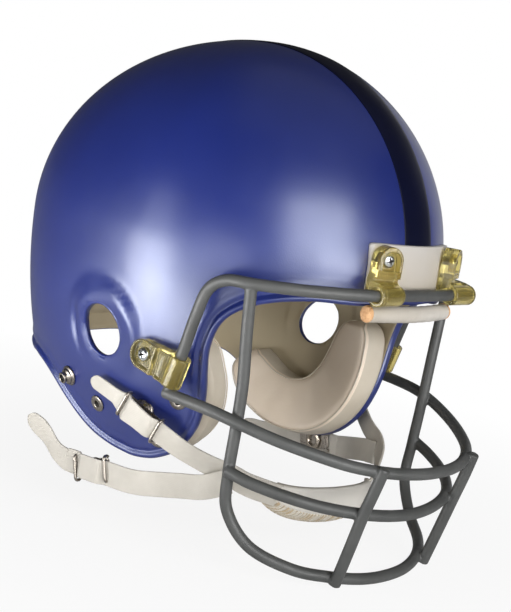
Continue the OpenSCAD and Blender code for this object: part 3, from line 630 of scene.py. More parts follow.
def make_shell():
    fan = np.array([0.0, 0.4])
    ring = rim_inset(BEAD_ROWS[-1][0])
    out = [skin(fan + (ring - fan) * k / 88) for k in [0.25] + list(range(1, 88))]
    out += [skin(rim_inset(d), h) for d, h in BEAD_ROWS[::-1]]
    inside = [skin(rim_inset(d), h) for d, h in INNER_ROWS]
    inside += [skin(fan + (ring - fan) * k / 56, -WALL) for k in list(range(55, 0, -1)) + [0.25]]
    part = loft(out + inside)
    looks = [int(f[0] // RIM_COUNT > len(out)) for f in part[1]]
    looks[-2], looks[-1] = 0, 1
    cutters = [rod(EAR_R, -300, 300, basis((0, 0, 0), (0, 1, 0), (1, 0, 0)), 96)]
    cutters += [rod(2.5, -30, 30, basis(o, (0, 0, 1), z), 32) for side in (-1, 1)
                for o, z in (front_screw_frame(side), side_screw_frame(side))]
    return boolean(solid("shell_moulding", part, ["shell", "inner"], looks), join(cutters), "shell")


place(make_shell(), "helmet", ["shell"])


def make_ear_lip(name, side):
    """Rolled lip round the ear hole."""
    a = np.linspace(0, 2 * math.pi, 97)
    m = side_map((EAR_R + 1.2) * np.cos(a), (EAR_R + 1.2) * np.sin(a), side)
    return solid(name, tube(skin(m, -1.0), 1.25, (side, 0, 0), 16, 1.0, False, False), ["shell"])


for name, side in SIDES.items():
    place(make_ear_lip("ear_lip_" + name, side), "helmet", ())


# stripe and bumper
def middle_map(x, v):
    """Map place at x on the ring through v on the middle line."""
    x, v = np.broadcast_arrays(np.asarray(x, float), np.asarray(v, float))
    g = np.abs(x) / HALF_W
    for _ in range(8):
        r = np.hypot(g, v)
        n = power(long_share(v / np.maximum(r, 1e-9)))
        g = r * (np.abs(x) / half_width(level(r))) ** (n / 2)
    return np.stack([-np.sign(x) * g, v], -1)


def make_stripe():
    v = np.linspace(-float(pole_distance(79.5)), float(pole_distance(NAPE_Z + 14.5)), 261)
    xs = np.array([-14, -13.9, -13.4, -10, -6, -2, 2, 6, 10, 13.4, 13.9, 14.0])
    lift = np.array([-0.3, 0.22, 0.38, 0.42, 0.44, 0.45, 0.45, 0.44, 0.42, 0.38, 0.22, -0.3])
    m = middle_map(xs[None, :], v[:, None])
    rings = [np.vstack([up, down[::-1]]) for up, down in zip(skin(m, lift), skin(m, -0.4))]
    return solid("stripe", loft(rings), ["stripe"])


place(make_stripe(), "helmet", ["centre_stripe"])


def squircle(u, v, corner):
    """Square of u and v in -1..1 with round corners, and each place's distance from its middle."""
    u, v = np.meshgrid(u, v)
    norm = np.maximum(np.abs(u), np.abs(v))
    curve = (np.abs(u) ** corner + np.abs(v) ** corner) ** (1 / corner)
    k = np.where(curve > 1e-9, norm / np.maximum(curve, 1e-9), 1)
    return u * k, v * k, norm


def make_bumper():
    def crowded(count):
        t = np.linspace(-1, 1, count)
        return np.sin(t * math.pi / 2) * 0.35 + t * 0.65

    u, v, norm = squircle(crowded(90), crowded(36), 24)
    m = face_map(1.4 + u * 40.8, 66.9 + v * 14.6)
    top = skin(m, 0.25 + 3.0 * (0.15 + 0.85 * quarter((1 - norm) / 0.05)))
    return sheet("bumper_plate", top, skin(m, 0.25), ["bumper"])


place(make_bumper(), "helmet", ["front_bumper"])


# brow roll
ROLL_R, ROLL_Z = 5.0, BROW_Z - 0.1 - 5.0
ROLL_X = np.linspace(-39.4, 39.8, 60)
ROLL_PATH = np.stack([ROLL_X, -146.2 + 5.4 * (ROLL_X / 41) ** 2, np.full(60, ROLL_Z)], 1)


def make_roll():
    ring = rings_on(ROLL_PATH, np.array([0, 0, 1.0]), 40)
    lip = [(1.2, 1.2), (1.1, 0.1), (0.6, -0.15), (0.15, 0.1)]
    rings = [ring(0, ROLL_R - d, shift) for d, shift in lip]
    rings += [ring(i, ROLL_R - 0.05 + 0.072 * math.sin(i * 0.9) + 0.048 * math.sin(i * 2.1))
              for i in range(1, 59)]
    rings += [ring(59, ROLL_R - d, -shift) for d, shift in lip[::-1]]
    return solid("brow_roll", loft(rings), ["roll"])


def make_roll_foam():
    """Foam core: its two ends swell out of the cover."""
    profile = [(0.01, -3.0), (3.9, -3.0), (4.3, -1.0), (4.8, 0.0), (5.1, 0.7), (5.1, 1.5), (4.8, 2.3),
               (4.1, 3.0), (3.0, 3.5), (1.6, 3.8), (0.01, 3.9)]
    return solid("brow_foam", join([lathe(profile, basis(c, (0, 0, 1), (end, 0.26, 0)), 40)
                                    for end, c in ((-1, ROLL_PATH[0]), (1, ROLL_PATH[-1]))]), ["foam"])


place(make_roll(), "helmet", ["brow_roll_cover"])
foam = place(make_roll_foam(), "helmet", ["brow_roll_foam"])


# liner pads
PAD_SEAT = -(WALL + 1.0)


def cushion(name, m_of, thickness, cols, rows, seams_u=(), seams_v=()):
    """Crowned pad under the dome, its edge rolled and its channels sewn in."""
    u, v, norm = squircle(np.linspace(-1, 1, cols), np.linspace(-1, 1, rows), 5.0)
    pull = 0.035
    m = m_of(u * (1 - pull * (1 - v ** 2)), v * (1 - pull * (1 - u ** 2)))
    full = quarter((1 - norm) / 0.22) ** 0.8
    depth = thickness * (0.06 + 0.90 * full + 0.04 * (1 - norm ** 2))
    for at, seams, narrow, wide in ((u, seams_u, 0.035, 0.12), (v, seams_v, 0.045, 0.14)):
        for g in seams:
            depth -= (2.6 * np.exp(-((at - g) / narrow) ** 2) + 1.2 * np.exp(-((at - g) / wide) ** 2)) * full
    wrinkle = 0.22 * np.sin(u * 23 + 3 * v) * np.sin(v * 17 - 2 * u) * (1 - full * 0.6)
    return sheet(name, skin(m, PAD_SEAT - np.maximum(depth + wrinkle, 0.4)), skin(m, PAD_SEAT), ["pad"])


def make_crown():
    """Ring cushion under the crown with a dimple in its middle."""
    a, reach = turn_angles(120), 0.41
    top, bottom = [], []
    for r in np.linspace(0.02, reach, 46):
        s = r / reach
        full = quarter((1 - s) / 0.2) ** 0.8
        depth = 16.2 * (0.06 + 0.90 * full) - 6.0 * math.exp(-(s / 0.16) ** 2)
        groove = 3.0 * np.exp(-(np.sin(3 * a) / 0.16) ** 2) * smooth(0.15, 0.35, s) * full
        m = np.stack([r * np.cos(a), r * np.sin(a) + 0.06], -1)
        top.append(skin(m, PAD_SEAT - np.maximum(depth - groove, 0.5)))
        bottom.append(skin(m, PAD_SEAT))
    return solid("crown_cushion", loft(top + bottom[::-1]), ["pad"])


front_pad = cushion("front_cushion", lambda u, v: face_map(u * 60, 72 + v * 18), 13.6, 97, 45, (-0.34, 0.34))
rear_pad = cushion("rear_cushion", lambda u, v: face_map(u * 58, 11 + v * 33, False), 13.6, 93, 63,
                   (-0.33, 0.33), (0.0,))
side_pad_r = cushion("side_cushion_right", lambda u, v: side_map(-3 - u * 55, 81 + v * 19), 13.6, 99, 45,
                     (-0.34, 0.34))
side_pad_l = mirrored(side_pad_r, "side_cushion_left")
for obj, name in ((front_pad, "front_pad"), (rear_pad, "rear_pad"), (side_pad_r, "side_pad_right"),
                  (side_pad_l, "side_pad_left"), (make_crown(), "crown_pad")):
    place(obj, "helmet", [name])


# jaw pads: y, z and half width along the spine
JAW = resample(catmull([
    (-49, 12, 2), (-49, 9.5, 10), (-49, 3.5, 16), (-49, -7, 19), (-48.5, -20, 21),
    (-44.5, -34, 21.5), (-35, -46, 20.5), (-22, -53, 18.5), (-5, -55, 16.5), (12, -51.5, 15),
    (24, -45.5, 14), (32, -38.5, 12), (37, -32, 8), (38.5, -30, 2)], 1.0), 0, 96)
JAW_ALONG = unit(np.gradient(JAW[:, :2], axis=0))
# across the pad and share of its thickness, from the seat over the crown to the seat
JAW_SECTION = [
    (-1.17, 0.02), (-1.16, 0.2), (-1.11, 0.45), (-1.05, 0.66), (-0.98, 0.82), (-0.88, 0.93),
    (-0.7, 1.0), (-0.35, 1.04), (0, 1.05), (0.35, 1.04), (0.7, 1.0), (0.88, 0.93), (0.97, 0.82),
    (1.0, 0.66), (0.99, 0.45), (0.95, 0.2), (0.92, 0.02)]
JAW_THICK = 20.0


def jaw_points(i, across, share):
    """Points at a station of the right jaw pad, at shares of its half width and its thickness."""
    w = max(JAW[i, 2], 1.2)
    y = JAW[i, 0] - JAW_ALONG[i, 1] * across * w
    z = JAW[i, 1] + JAW_ALONG[i, 0] * across * w
    depth = share * min(1.0, 0.4 + w / 18) * JAW_THICK - PAD_SEAT
    x = side_x(y, z) - depth / np.abs(map_normal(side_map(y, z))[..., 0])
    return np.stack([-x, y, z], -1)


def make_jaw_pad():
    section = resample(catmull(JAW_SECTION, 0.02), 0, 54)
    flat = np.stack([np.linspace(0.9, -0.9, 16), np.zeros(16)], 1)
    across, share = np.vstack([section, flat]).T
    folds = 0.012 * (1 - np.abs(across)) * (share > 0.5)
    verts, faces = loft([jaw_points(i, across, share + folds * np.sin(i * 0.55)) for i in range(len(JAW))])
    # the side wall of the pad is darker than its face: painted shade
    looks = [0 if len(q) == 4 and 11 <= q[0] % len(across) <= 41 else 1 for q in faces]
    return solid("jaw_cushion_right", (verts, faces), ["jaw", "jaw_side"], looks)


def make_jaw_piping():
    """Sewn edge round the face of the jaw pad."""
    loop = [jaw_points(i, 0.955 * way, 0.905) for way in (1, -1) for i in range(2, len(JAW) - 2)[::way]]
    return solid("jaw_piping_right", tube(loop + loop[:1], 0.42, (1, 0, 0), 10, 1.2, False, False), ["jaw_side"])


jaw_r = make_jaw_pad()
jaw_l = mirrored(jaw_r, "jaw_cushion_left")
pipe_r = make_jaw_piping()
pipe_l = mirrored(pipe_r, "jaw_piping_left")
for pad, piping, name in ((jaw_r, pipe_r, "right"), (jaw_l, pipe_l, "left")):
    place(pad, "helmet", ["jaw_pad_" + name])
    place(piping, "helmet", [])


# face guard
BAR_R = 3.6
BROW_BAR = [(-109.3, -59.2, -23.5), (-109.6, -66, 2), (-110.3, -72, 25), (-110, -78, 42),
            (-108, -89, 49.5), (-103.5, -104, 50.5), (-88, -125, 51.5), (-71, -138.5, 52.3),
            (-57, -147, 53), (-45.5, -151, 53.2), (-24.5, -151.4, 53.2), (0, -151.5, 53.2)]
UPPER_BAR = [(-110.2, -57.5, -24.2), (-109.3, -72, -25), (-106.5, -90, -26.5), (-101.5, -107, -29.5),
             (-91.5, -128, -34.5), (-78, -147, -39), (-62, -163, -43), (-42, -174.5, -45.5),
             (-21, -181, -46.7), (0, -183, -47)]
LOWER_BAR = [(-98.5, -103.5, -59.5), (-94, -117, -63), (-84, -133, -66.5), (-69, -149, -70),
             (-50, -161.5, -72.7), (-26, -169, -75.2), (0, -171.3, -76.4)]
U_BAR = [(-103, -103.2, 47), (-100.5, -103.4, 20), (-97.5, -104, -8), (-96.5, -103.5, -35),
         (-95.5, -102.5, -62), (-92.5, -103.5, -84), (-84, -117, -103), (-67, -137.5, -112.5),
         (-46, -151, -116), (-23, -158.5, -118.3), (0, -160.5, -119)]
UPRIGHT = [(-48.5, -177, -42), (-49, -173, -57), (-49, -168.3, -73), (-48, -162.5, -95), (-47, -156, -119)]
WELDS = [(-98.9, -104.5, -29.8, 3.1), (-97, -103.2, -59.8, 3.3), (-109.6, -60, -22.5, 3.0),
         (-48.7, -173.6, -46.5, 3.3), (-49.2, -165.3, -73.2, 3.0), (-47.2, -154.6, -117.0, 3.2)]


def whole(half):
    return half + [(-x, y, z) for x, y, z in half[-2::-1]]


def make_guard():
    parts = [tube(whole(half), BAR_R, start) for half, start in
             ((BROW_BAR, (1, 0, 0)), (UPPER_BAR, (0, 0, 1)), (LOWER_BAR, (0, 0, 1)), (U_BAR, (1, 0, 0)))]
    parts += [tube(np.multiply(UPRIGHT, (s, 1, 1)), BAR_R, (1, 0, 0)) for s in (1, -1)]
    for s in (1, -1):
        for x, y, z, r in WELDS:
            ball = [(max(0.01, r * math.sin(a)), -r * math.cos(a)) for a in np.radians(range(0, 181, 15))]
            parts.append(lathe(ball, basis((s * x, y, z), (1, 0, 0), (0, 0, 1)), 16))
    return remeshed(solid("face_guard", join(parts), ["guard"]), 0.62, 7)


place(make_guard(), "helmet", ["brow_bar", "upper_bar", "lower_bar", "u_bar",
                               "front_vertical_right", "front_vertical_left"])


# clips
BORE_R = 3.9


def arch(width, foot, top):
    """Outline with a round top: x is the width, y runs from foot to top."""
    r = width / 2
    return [(-r, foot), (r, foot)] + [(r * math.cos(a), top - r + r * math.sin(a))
                                      for a in np.linspace(0, math.pi, 20)]


def carve(name, adds, cuts, steps):
    body = solid(name, adds[0], ["clip"])
    for part in adds[1:]:
        boolean(body, part, "clip", "UNION")
    for part in cuts:
        boolean(body, part, "clip")
    return remeshed(body, 0.34, steps)


def make_front_clip(name, side):
    o = np.array([side * 39.0, -151.2, 53.2])
    so, sz = front_screw_frame(side)
    # X towards the middle, Y up, Z outwards along the screw
    face = columns(so, np.array([-sz[1], sz[0], 0]) * -side, (0, 0, 1), sz)
    # X back, Y up, Z towards the middle
    section = columns(o, (0, 1, 0), (0, 0, 1), (-side, 0, 0))
    half, back, front = 8.4, 4.3, 13.4
    head = prism(arch(2 * half, -10.0, 8.4), back - 3, front, face)
    lower = prism([(-half - 1.0, -19), (half, -19), (half, -8), (-half, -8), (-half - 1.0, -11)],
                  back - 3, front - 2.4, face)
    web = prism([(-3.5, -1), (-2.2, 4.8), (1.2, 7.5), (9, 7.5), (9, 4), (5.6, -1)], -8.0, 11.0, section)
    loop = lathe([(0.01, -10.8), (5.7, -10.8), (6.2, -10.3), (6.2, -8.7), (5.8, -8.3), (5.8, -7.6), (6.2, -7.2),
                  (6.2, 10.5), (5.7, 11.0), (0.01, 11.0)], basis(o, (0, 1, 0), (-side, 0, 0)), 56)
    cuts = [rod(BORE_R, -30, 30, basis(o, (0, 1, 0), (1, 0, 0)), 48), box(-60, 60, -60, 60, -60, back, face),
            prism([(x + 0.6, y) for x, y in arch(11.8, -5.7, 5.5)], 8.7, 30, face)]
    cuts += [box(-20, 20, y - 0.35, y + 0.35, front - 0.5, 30, face) for y in (-7.0, -9.0)]
    return carve(name, [head, lower, web, loop], cuts, 3)


def make_side_clip():
    o = np.array([-109.5, -62.6, -10.4])
    out = np.array([-1.0, 0, 0])
    back = np.array([0, math.cos(SIDE_TILT), math.sin(SIDE_TILT)])
    up = np.array([0, -math.sin(SIDE_TILT), math.cos(SIDE_TILT)])
    # X outwards, Y back, Z up along the clip's width
    section = columns(o, out, back, up)
    face = columns(o, up, back, out)
    half, inner = 9.0, 7.4
    body = prism([(-2, -2), (5.9, -1), (5.6, 10.5), (3.6, 12.5), (4.0, 26), (0.4, 26), (0.2, 25), (-3, 14),
                  (-5.3, 6), (-6.0, 0)], -half, half, section)
    head = prism(arch(2 * half, 13.5, 33.8), -0.2, 5.6, face)
    bar_tilt = math.radians(15.8)
    bar = basis(o, (1, 0, 0), (0, -math.sin(bar_tilt), math.cos(bar_tilt)))
    loop = lathe([(0.01, -9.4), (6.1, -9.4), (6.5, -9.0), (6.5, 9.0), (6.1, 9.4), (0.01, 9.4)], bar, 56)
    rib = box(3.0, 6.1, 14.6, 16.2, -half, half, section)
    cuts = [rod(BORE_R, -30, 30, bar, 48), prism(arch(14.6, 16.6, 32.2), 2.9, 30, face),
            box(3.9, 9, 12.2, 14.0, -inner, inner, section), box(4.9, 9, 5.4, 9.6, -inner, inner, section)]
    return carve("side_clip_body_right", [body, head, loop, rib], cuts, 4)


for name, side in SIDES.items():
    place(make_front_clip("front_clip_body_" + name, side), "helmet", ["front_clip_" + name])
side_clip_r = make_side_clip()
side_clip_l = mirrored(side_clip_r, "side_clip_body_left")
place(side_clip_r, "helmet", ["side_clip_right"])
place(side_clip_l, "helmet", ["side_clip_left"])


# screws, nuts, rivets, studs
FRONT_SEAT, SIDE_SEAT = 8.7, 4.6
SCREWS = [(basis(o, (0, 0, 1), z), seat) for side in (-1, 1)
          for (o, z), seat in ((front_screw_frame(side), FRONT_SEAT), (side_screw_frame(side), SIDE_SEAT))]
# radius, and height over the seat; the shaft ends 15.5 under it
SCREW_HEAD = [(2.1, 0.05), (4.1, 0.1), (4.3, 0.3), (4.32, 1.5), (4.2, 2.0), (3.8, 2.55), (3.0, 3.1),
              (2.0, 3.45), (1.0, 3.6), (0.01, 3.65)]
# a quarter of the cross recess: long arm, waist
CROSS_ARM, CROSS_WAIST = (2.55, 0.248), (0.62, 0.62)


def make_screws():
    parts, cutters = [], []
    for m, seat in SCREWS:
        shaft = [(0.01, seat - 15.5), (1.9, seat - 15.5), (2.1, seat - 15.2)]
        parts.append(lathe(shaft + [(r, seat + h) for r, h in SCREW_HEAD], m, 56))
        for a in (20, 110):
            c, s = math.cos(math.radians(a)), math.sin(math.radians(a))
            low = [(-CROSS_ARM[0], -CROSS_ARM[1]), (-CROSS_WAIST[0], -CROSS_WAIST[1]),
                   (CROSS_WAIST[0], -CROSS_WAIST[1]), (CROSS_ARM[0], -CROSS_ARM[1])]
            outline = [(x * c - y * s, x * s + y * c) for x, y in low + [(x, -y) for x, y in low[::-1]]]
            cutters.append(prism(outline, seat + 1.5, seat + 6, m))
    obj = solid("clip_screw_heads", join(parts), ["screw", "recess"])
    # the cross recesses take the dark look: painted shade
    for part in cutters:
        boolean(obj, part, "recess", material_mode="TRANSFER")
    return obj


def make_nuts():
    """Washers and hexagon nuts inside the shell."""
    parts = []
    hexagon = [(3.3 * math.cos(math.radians(a)), 3.3 * math.sin(math.radians(a))) for a in range(0, 360, 60)]
    for (m, _), gap in zip(SCREWS, (1.4, 2.1, 1.4, 2.1)):
        top = -WALL - gap
        parts.append(lathe([(0.01, top - 1.2), (4.3, top - 1.2), (4.5, top - 1.0), (4.5, top - 0.1), (4.4, top),
                            (0.01, top)], m))
        parts.append(prism(hexagon, top - 5.0, top - 1.1, m))
    obj = solid("clip_nut_set", join(parts), ["screw"], smooth_faces=False)
    return applied(obj, "BEVEL", width=0.25 * MM, segments=2, limit_method="ANGLE")


place(make_screws(), "helmet", ["clip_screws"])
place(make_nuts(), "helmet", ["clip_nuts"])


def on_side(y, z, side):
    m = side_map(y, z, side)
    return basis(skin(m), (0, 0, 1), map_normal(m))


def painted_shade_from(faces, sides, row):
    """The second look, dark metal as painted shade in a hollow, for the rows from one on and for the cap that ends
    them.
    """
    return [int(min(q) // sides >= (row if len(q) == 4 else 6)) for q in faces]


RIVETS = [(7, -49), (-40, -59.6), (-56, -31)]
RIVET_PROFILE = [(0.01, -3.6), (2.0, -3.6), (2.0, 0.0), (4.3, 0.02), (5.3, 0.2), (5.45, 0.5), (5.3, 0.85),
                 (4.6, 1.15), (3.4, 1.3), (2.6, 1.32), (2.3, 1.2), (2.05, 0.9), (1.9, 0.5), (1.2, 0.35), (0.01, 0.3)]
REAR_STUD_PROFILE = [
    (0.01, -3.6), (2.0, -3.6), (2.0, 0), (6.2, 0.02), (6.5, 0.3), (6.4, 0.9), (5.9, 1.3), (5.2, 1.5), (4.9, 1.8),
    (5.1, 2.2), (5.0, 2.6), (4.2, 2.9), (3.5, 3.3), (3.1, 3.9), (3.2, 4.4), (3.55, 4.8), (3.6, 5.3), (3.5, 5.8),
    (3.2, 6.05), (2.7, 6.1), (2.3, 5.9), (2.0, 5.4), (1.8, 4.6), (1.0, 4.3), (0.01, 4.3)]
UPPER_STUD_PROFILE = [
    (0.01, -2.2), (3.0, -2.2), (3.0, -1.0), (5.8, -1.0), (6.0, -0.8), (6.0, 0.9), (5.6, 1.6), (4.6, 2.1), (3.2, 2.5),
    (3.0, 3.2), (3.3, 3.9), (3.55, 4.5), (3.5, 5.0), (3.0, 5.2), (0.01, 5.2)]
# from the open underside of a socket to its cap and back inside
SOCKET_PROFILE = [
    (3.68, 0.0), (4.4, -0.02), (5.0, 0.1), (5.5, 0.35), (6.15, 0.3), (6.4, 0.55), (6.4, 1.0), (6.1, 1.3), (5.3, 1.5),
    (4.9, 1.9), (4.6, 2.6), (4.0, 3.15), (3.2, 3.4), (0.02, 3.4), (0.02, 2.6), (3.2, 2.6), (3.68, 2.2)]
SNAP = np.array([98.0, -34.0, -42.0])


def make_socket(name, matrix):
    rings = lathed(SOCKET_PROFILE, 56)
    faces = grid_faces(len(rings) + 1, 56, close_cols=True)
    faces = [[i % (len(rings) * 56) for i in q] for q in faces]
    return solid(name, moved((np.vstack(rings), faces), matrix), ["socket"])


for name, side in SIDES.items():
    rivets = [lathe(RIVET_PROFILE, on_side(y, z, side)) for y, z in RIVETS]
    # the hollows of the rivets and of the rear stud take the dark look: painted shade
    looks = [x for part in rivets for x in painted_shade_from(part[1], 48, 11)]
    place(solid("jaw_rivets_" + name, join(rivets), ["nickel", "recess"], looks), "helmet",
          ["jaw_pad_rivets_" + name])
    stud = lathe(REAR_STUD_PROFILE, on_side(34, -38, side), 56)
    place(solid("snap_stud_" + name, stud, ["nickel", "recess"], painted_shade_from(stud[1], 56, 20)), "helmet",
          ["rear_stud_" + name])
for name, side in SIDES.items():
    at = basis(SNAP * (side, 1, 1), (0, 0, 1), (side, 0, 0))
    place(solid("upper_snap_stud_" + name, lathe(UPPER_STUD_PROFILE, at), ["nickel"]), "helmet",
          ["upper_stud_" + name])
    place(make_socket("upper_snap_socket_" + name, at @ np.array(Matrix.Translation((0, 0, 2.9)))), "chin_strap",
          ["upper_snap_" + name])


# straps
def along(p, d, side):
    """Frame of a buckle: X along the strap, Z outwards."""
    yaw = math.atan2(d[1], d[0])
    pitch = -math.atan2(d[2], math.hypot(d[0], d[1]))
    m = np.array(Matrix.Rotation(yaw, 4, "Z") @ Matrix.Rotation(pitch, 4, "Y")
                 @ Matrix.Rotation(side * math.pi / 2, 4, "X"))
    m[:3, 3] = p
    return m


STRAP_W, STRAP_T = 15.6, 1.6
BUCKLE_MID = np.array([106.7, -34.0, -43.5])
BUCKLE_DIR = unit([-7, -35, -15])
UPPER_LENGTH, LOWER_LENGTH = 29.5, 25.5
UPPER_SEAT = {name: ((BUCKLE_MID + 4.0 * BUCKLE_DIR) * (side, 1, 1), BUCKLE_DIR * (side, 1, 1))
              for name, side in SIDES.items()}
LOWER_SEAT = {"right": (np.array([-96.22, 5, -90.5]), unit([-4, 36.8, 0])),
              "left": (np.array([95.0, -24, -80.25]), unit([1.92, 32, -1.2]))}


def upper_straight(side):
    return [(BUCKLE_MID + k * BUCKLE_DIR) * (side, 1, 1) for k in (-18, -11.5, 11.5, 18)]


UPPER_ROUTE = {
    "right": [(-110.2, 3, -31.5)] + upper_straight(-1) + [
        (-92, -61, -59.5), (-80, -73, -66.5), (-68, -82, -71.5), (-60, -86, -76), (-51, -90, -79.5),
        (-43, -93.4, -82), (-36, -97, -84)],
    "left": [(110.2, 4, -31)] + upper_straight(1) + [
        (90, -69, -58), (79, -85, -62), (68, -96, -66), (60, -101.5, -71.5), (51, -106, -76.5),
        (43, -108.7, -80), (36, -112, -82.5)]}
LOWER_ROUTE = {
    "right": [(-72.6, -85.8, -74.2), (-80.2, -73.6, -80.6), (-85, -58, -84), (-91, -32, -89.5),
              (-93.5, -20, -90.5), (-94, -15.4, -90.5), (-98, 21.4, -90.5), (-98.5, 26, -90.5),
              (-99.5, 35, -87), (-100.5, 47, -78.5), (-101.5, 62, -71.5)],
    "left": [(74.2, -88.3, -69.4), (77.2, -81.3, -70.4), (80.8, -74, -71.7), (90.5, -54, -77),
             (93.8, -44, -79.5), (94.04, -40, -79.65), (95.96, -8, -80.85), (96.2, -4, -81),
             (97, 12, -82.5), (97, 30, -87), (96, 46, -88)]}
# place along the strap and share of the full width
UPPER_SHARES = [(0, 0.5), (0.03, 0.58), (0.15, 0.6), (0.185, 0.9), (0.21, 1), (0.24, 0.86), (0.5, 0.8), (0.8, 1),
                (1, 1)]
LOWER_SHARES = [(0, 1), (0.62, 1), (0.75, 0.85), (0.85, 0.65), (0.93, 0.85), (1, 0.55)]
# the section's upper left: across, height and how far the edge draws in
STRAP_EDGE = [(-1, 0, 1), (-1, 0.55, 0.72), (-1, 0.95, 0.25), (-0.9, 1, 0), (-0.6, 1.02, 0), (-0.2, 1.05, 0)]
STRAP_TOP = STRAP_EDGE + [(-a, h, drawn) for a, h, drawn in STRAP_EDGE[::-1]]
STRAP_SECTION = np.array(STRAP_TOP + [(-a, -min(h, 1), drawn) for a, h, drawn in STRAP_TOP[1:-1]])


def strap_path(points):
    """Even path with clamped ends, as the solids have it, and the share of knots passed."""
    p = np.array(points, float)
    n = len(p) - 1
    knots = [(i, k / 10) for i in range(n) for k in range(10)]
    path = np.array([spline(p[max(0, i - 1)], p[i], p[i + 1], p[min(n, i + 2)], t) for i, t in knots] + [p[-1]])
    at = [(i + t) / n for i, t in knots] + [1.0]
    s = run_length(path)
    even = np.linspace(0, s[-1], int(s[-1] / 1.2) + 1)
    return np.stack([np.interp(even, s, path[:, k]) for k in range(3)], 1), np.interp(even, s, at)


def strap(name, path, at, wide_ends, shares, lift, outward, round_end, seat=None):
    """Webbing with soft edges and a slightly crowned face, raised by lift."""
    t = unit(np.gradient(path, axis=0))
    wide = unit(mix(*(np.array(w, float)[None] for w in wide_ends), at[:, None]))
    if seat is not None:
        mid, direction, across = seat
        near = smooth(22, 13, np.abs((path - mid) @ direction)) * (np.linalg.norm(path - mid, axis=1) < 24)
        across = across * math.copysign(1, np.dot(across, wide_ends[0]))
        wide = unit(mix(wide, across[None], near[:, None]))
    wide = unit(wide - t * np.sum(wide * t, 1)[:, None])
    normal = np.cross(t, wide)
    share = np.interp(at, *np.transpose(shares))
    # soften the corners of the width profile
    for _ in range(6):
        share[1:-1] = 0.5 * share[1:-1] + 0.25 * (share[2:] + share[:-2])
    s = run_length(path)
    half = share * STRAP_W / 2 * quarter((s[-1] - s if round_end else s) / 5.0, 0.02)
    a, h, drawn = STRAP_SECTION.T
    edge = np.sign(a) * np.maximum(half[:, None] - STRAP_T / 4 * (1 - drawn), 0.1)
    w = np.where(np.abs(a) < 1, a * half[:, None], edge)
    rings = (path[:, None] + wide[:, None] * w[..., None] + normal[:, None] * (h * STRAP_T / 2)[:, None]
             + (lift[:, None] * outward)[:, None])
    return solid(name, loft(list(rings)), ["strap"])


def buckle_bulge(path, seat, amount, length):
    """Strap raised over the bridge of a buckle."""
    mid, direction = seat
    u = (path - mid) @ direction
    near = np.linalg.norm(path - mid - u[:, None] * direction, axis=1) < 8
    return amount * smooth(length / 2 - 1.4, length / 2 - 6, np.abs(u)) * near


def make_upper_strap(name, side):
    path, at = strap_path(UPPER_ROUTE[name])
    mid, d = UPPER_SEAT[name]
    m = along(mid, -d, side)
    return strap("upper_webbing_" + name, path, at, ((side * 0.1, 0.4, -0.92), (0, 0.3, -0.95)), UPPER_SHARES,
                 buckle_bulge(path, (mid, d), 3.8, UPPER_LENGTH), m[:3, 2], False, (mid, d, m[:3, 1]))


def make_lower_strap(name, side):
    path, at = strap_path(LOWER_ROUTE[name])
    lift = buckle_bulge(path, LOWER_SEAT[name], 3.2, LOWER_LENGTH)
    lift = lift + 0.35 * np.sin(run_length(path) * 0.16 + 1.0) * smooth(0.55, 0.8, at)
    return strap("lower_webbing_" + name, path, at, ((0, 0.1, -1), (0, 0, -1)), LOWER_SHARES, lift,
                 np.array([side, 0.0, 0.0]), True)


for name, side in SIDES.items():
    place(make_upper_strap(name, side), "chin_strap", ["upper_strap_" + name])
    place(make_lower_strap(name, side), "lower_strap_" + name, ["lower_strap_" + name])


# buckles
def make_buckle(name, m, length):
    """Slider: a base plate under the strap and two wires over it."""
    parts = []
    half_w, wire, r = STRAP_W / 2 + 0.3, 1.0, 2.2
    for end in (-1, 1):
        x = end * (length / 2 - wire)
        half = [(x, half_w - 1.0, -1.9), (x, half_w - 0.3, -1.1), (x, half_w - 0.2, 0.6),
                (x, half_w - 0.7, 1.8), (x, half_w - 2.0, 2.35), (x, 4, 2.45)]
        wire_path = half + [(a, -b, c) for a, b, c in half[::-1]]
        parts.append(moved(tube(wire_path, wire, (1, 0, 0), 14, 0.7), m))
    x, y = length / 2 - r, (STRAP_W - 3) / 2 - r
    outline = [(cx + r * math.cos(math.radians(a)), cy + r * math.sin(math.radians(a)))
               for cx, cy, start in ((x, y, 0), (-x, y, 90), (-x, -y, 180), (x, -y, 270))
               for a in range(start, start + 91, 15)]
    parts.append(prism(outline, -2.55, -1.75, m))
    return remeshed(solid(name, join(parts), ["nickel"]), 0.3, 3)


for name, side in SIDES.items():
    mid, d = UPPER_SEAT[name]
    place(make_buckle("upper_slider_" + name, along(mid, -d, side), UPPER_LENGTH), "chin_strap",
          ["upper_buckle_" + name])
    m = along(*LOWER_SEAT[name], side)
    leaning = m @ np.array(Matrix.Rotation(math.radians(-14 * side), 4, "Z"))
    place(make_buckle("lower_slider_" + name, leaning, LOWER_LENGTH), "lower_buckle_" + name,
          ["lower_buckle_" + name])
    under = m @ np.array(Matrix.Translation((0, 0, -STRAP_T / 2 - 3.7)))
    place(make_socket("lower_socket_" + name, under), "lower_buckle_" + name, ["lower_snap_" + name])


# chin cup
CUP_HALF, CUP_WALL, LINER_EDGE = 39.0, 4.0, 0.93


def cup_face(u, v):
    x = CUP_HALF * np.sin(np.radians(80 * u)) / math.sin(math.radians(80))
    top = np.stack([x, -103 - 8 * u - 15 * (1 - u * u), np.full_like(x, -76.5)], -1)
    low = np.stack([0.95 * x, -89 - 8 * u - 9 * (1 - u * u), -91 - u - 13 * (1 - u * u)], -1)
    belly = (np.sin(np.radians(180 * v)) * (10 - 4 * u * u))[..., None] * np.array([0, -0.76, -0.65])
    return top + (low - top) * v[..., None] + belly


def cup_point(u, v, depth):
    d = 0.004
    a = cup_face(u + d, v) - cup_face(u - d, v)
    b = cup_face(u, v + d) - cup_face(u, v - d)
    return cup_face(u, v) - np.asarray(depth)[..., None] * unit(np.cross(b, a))


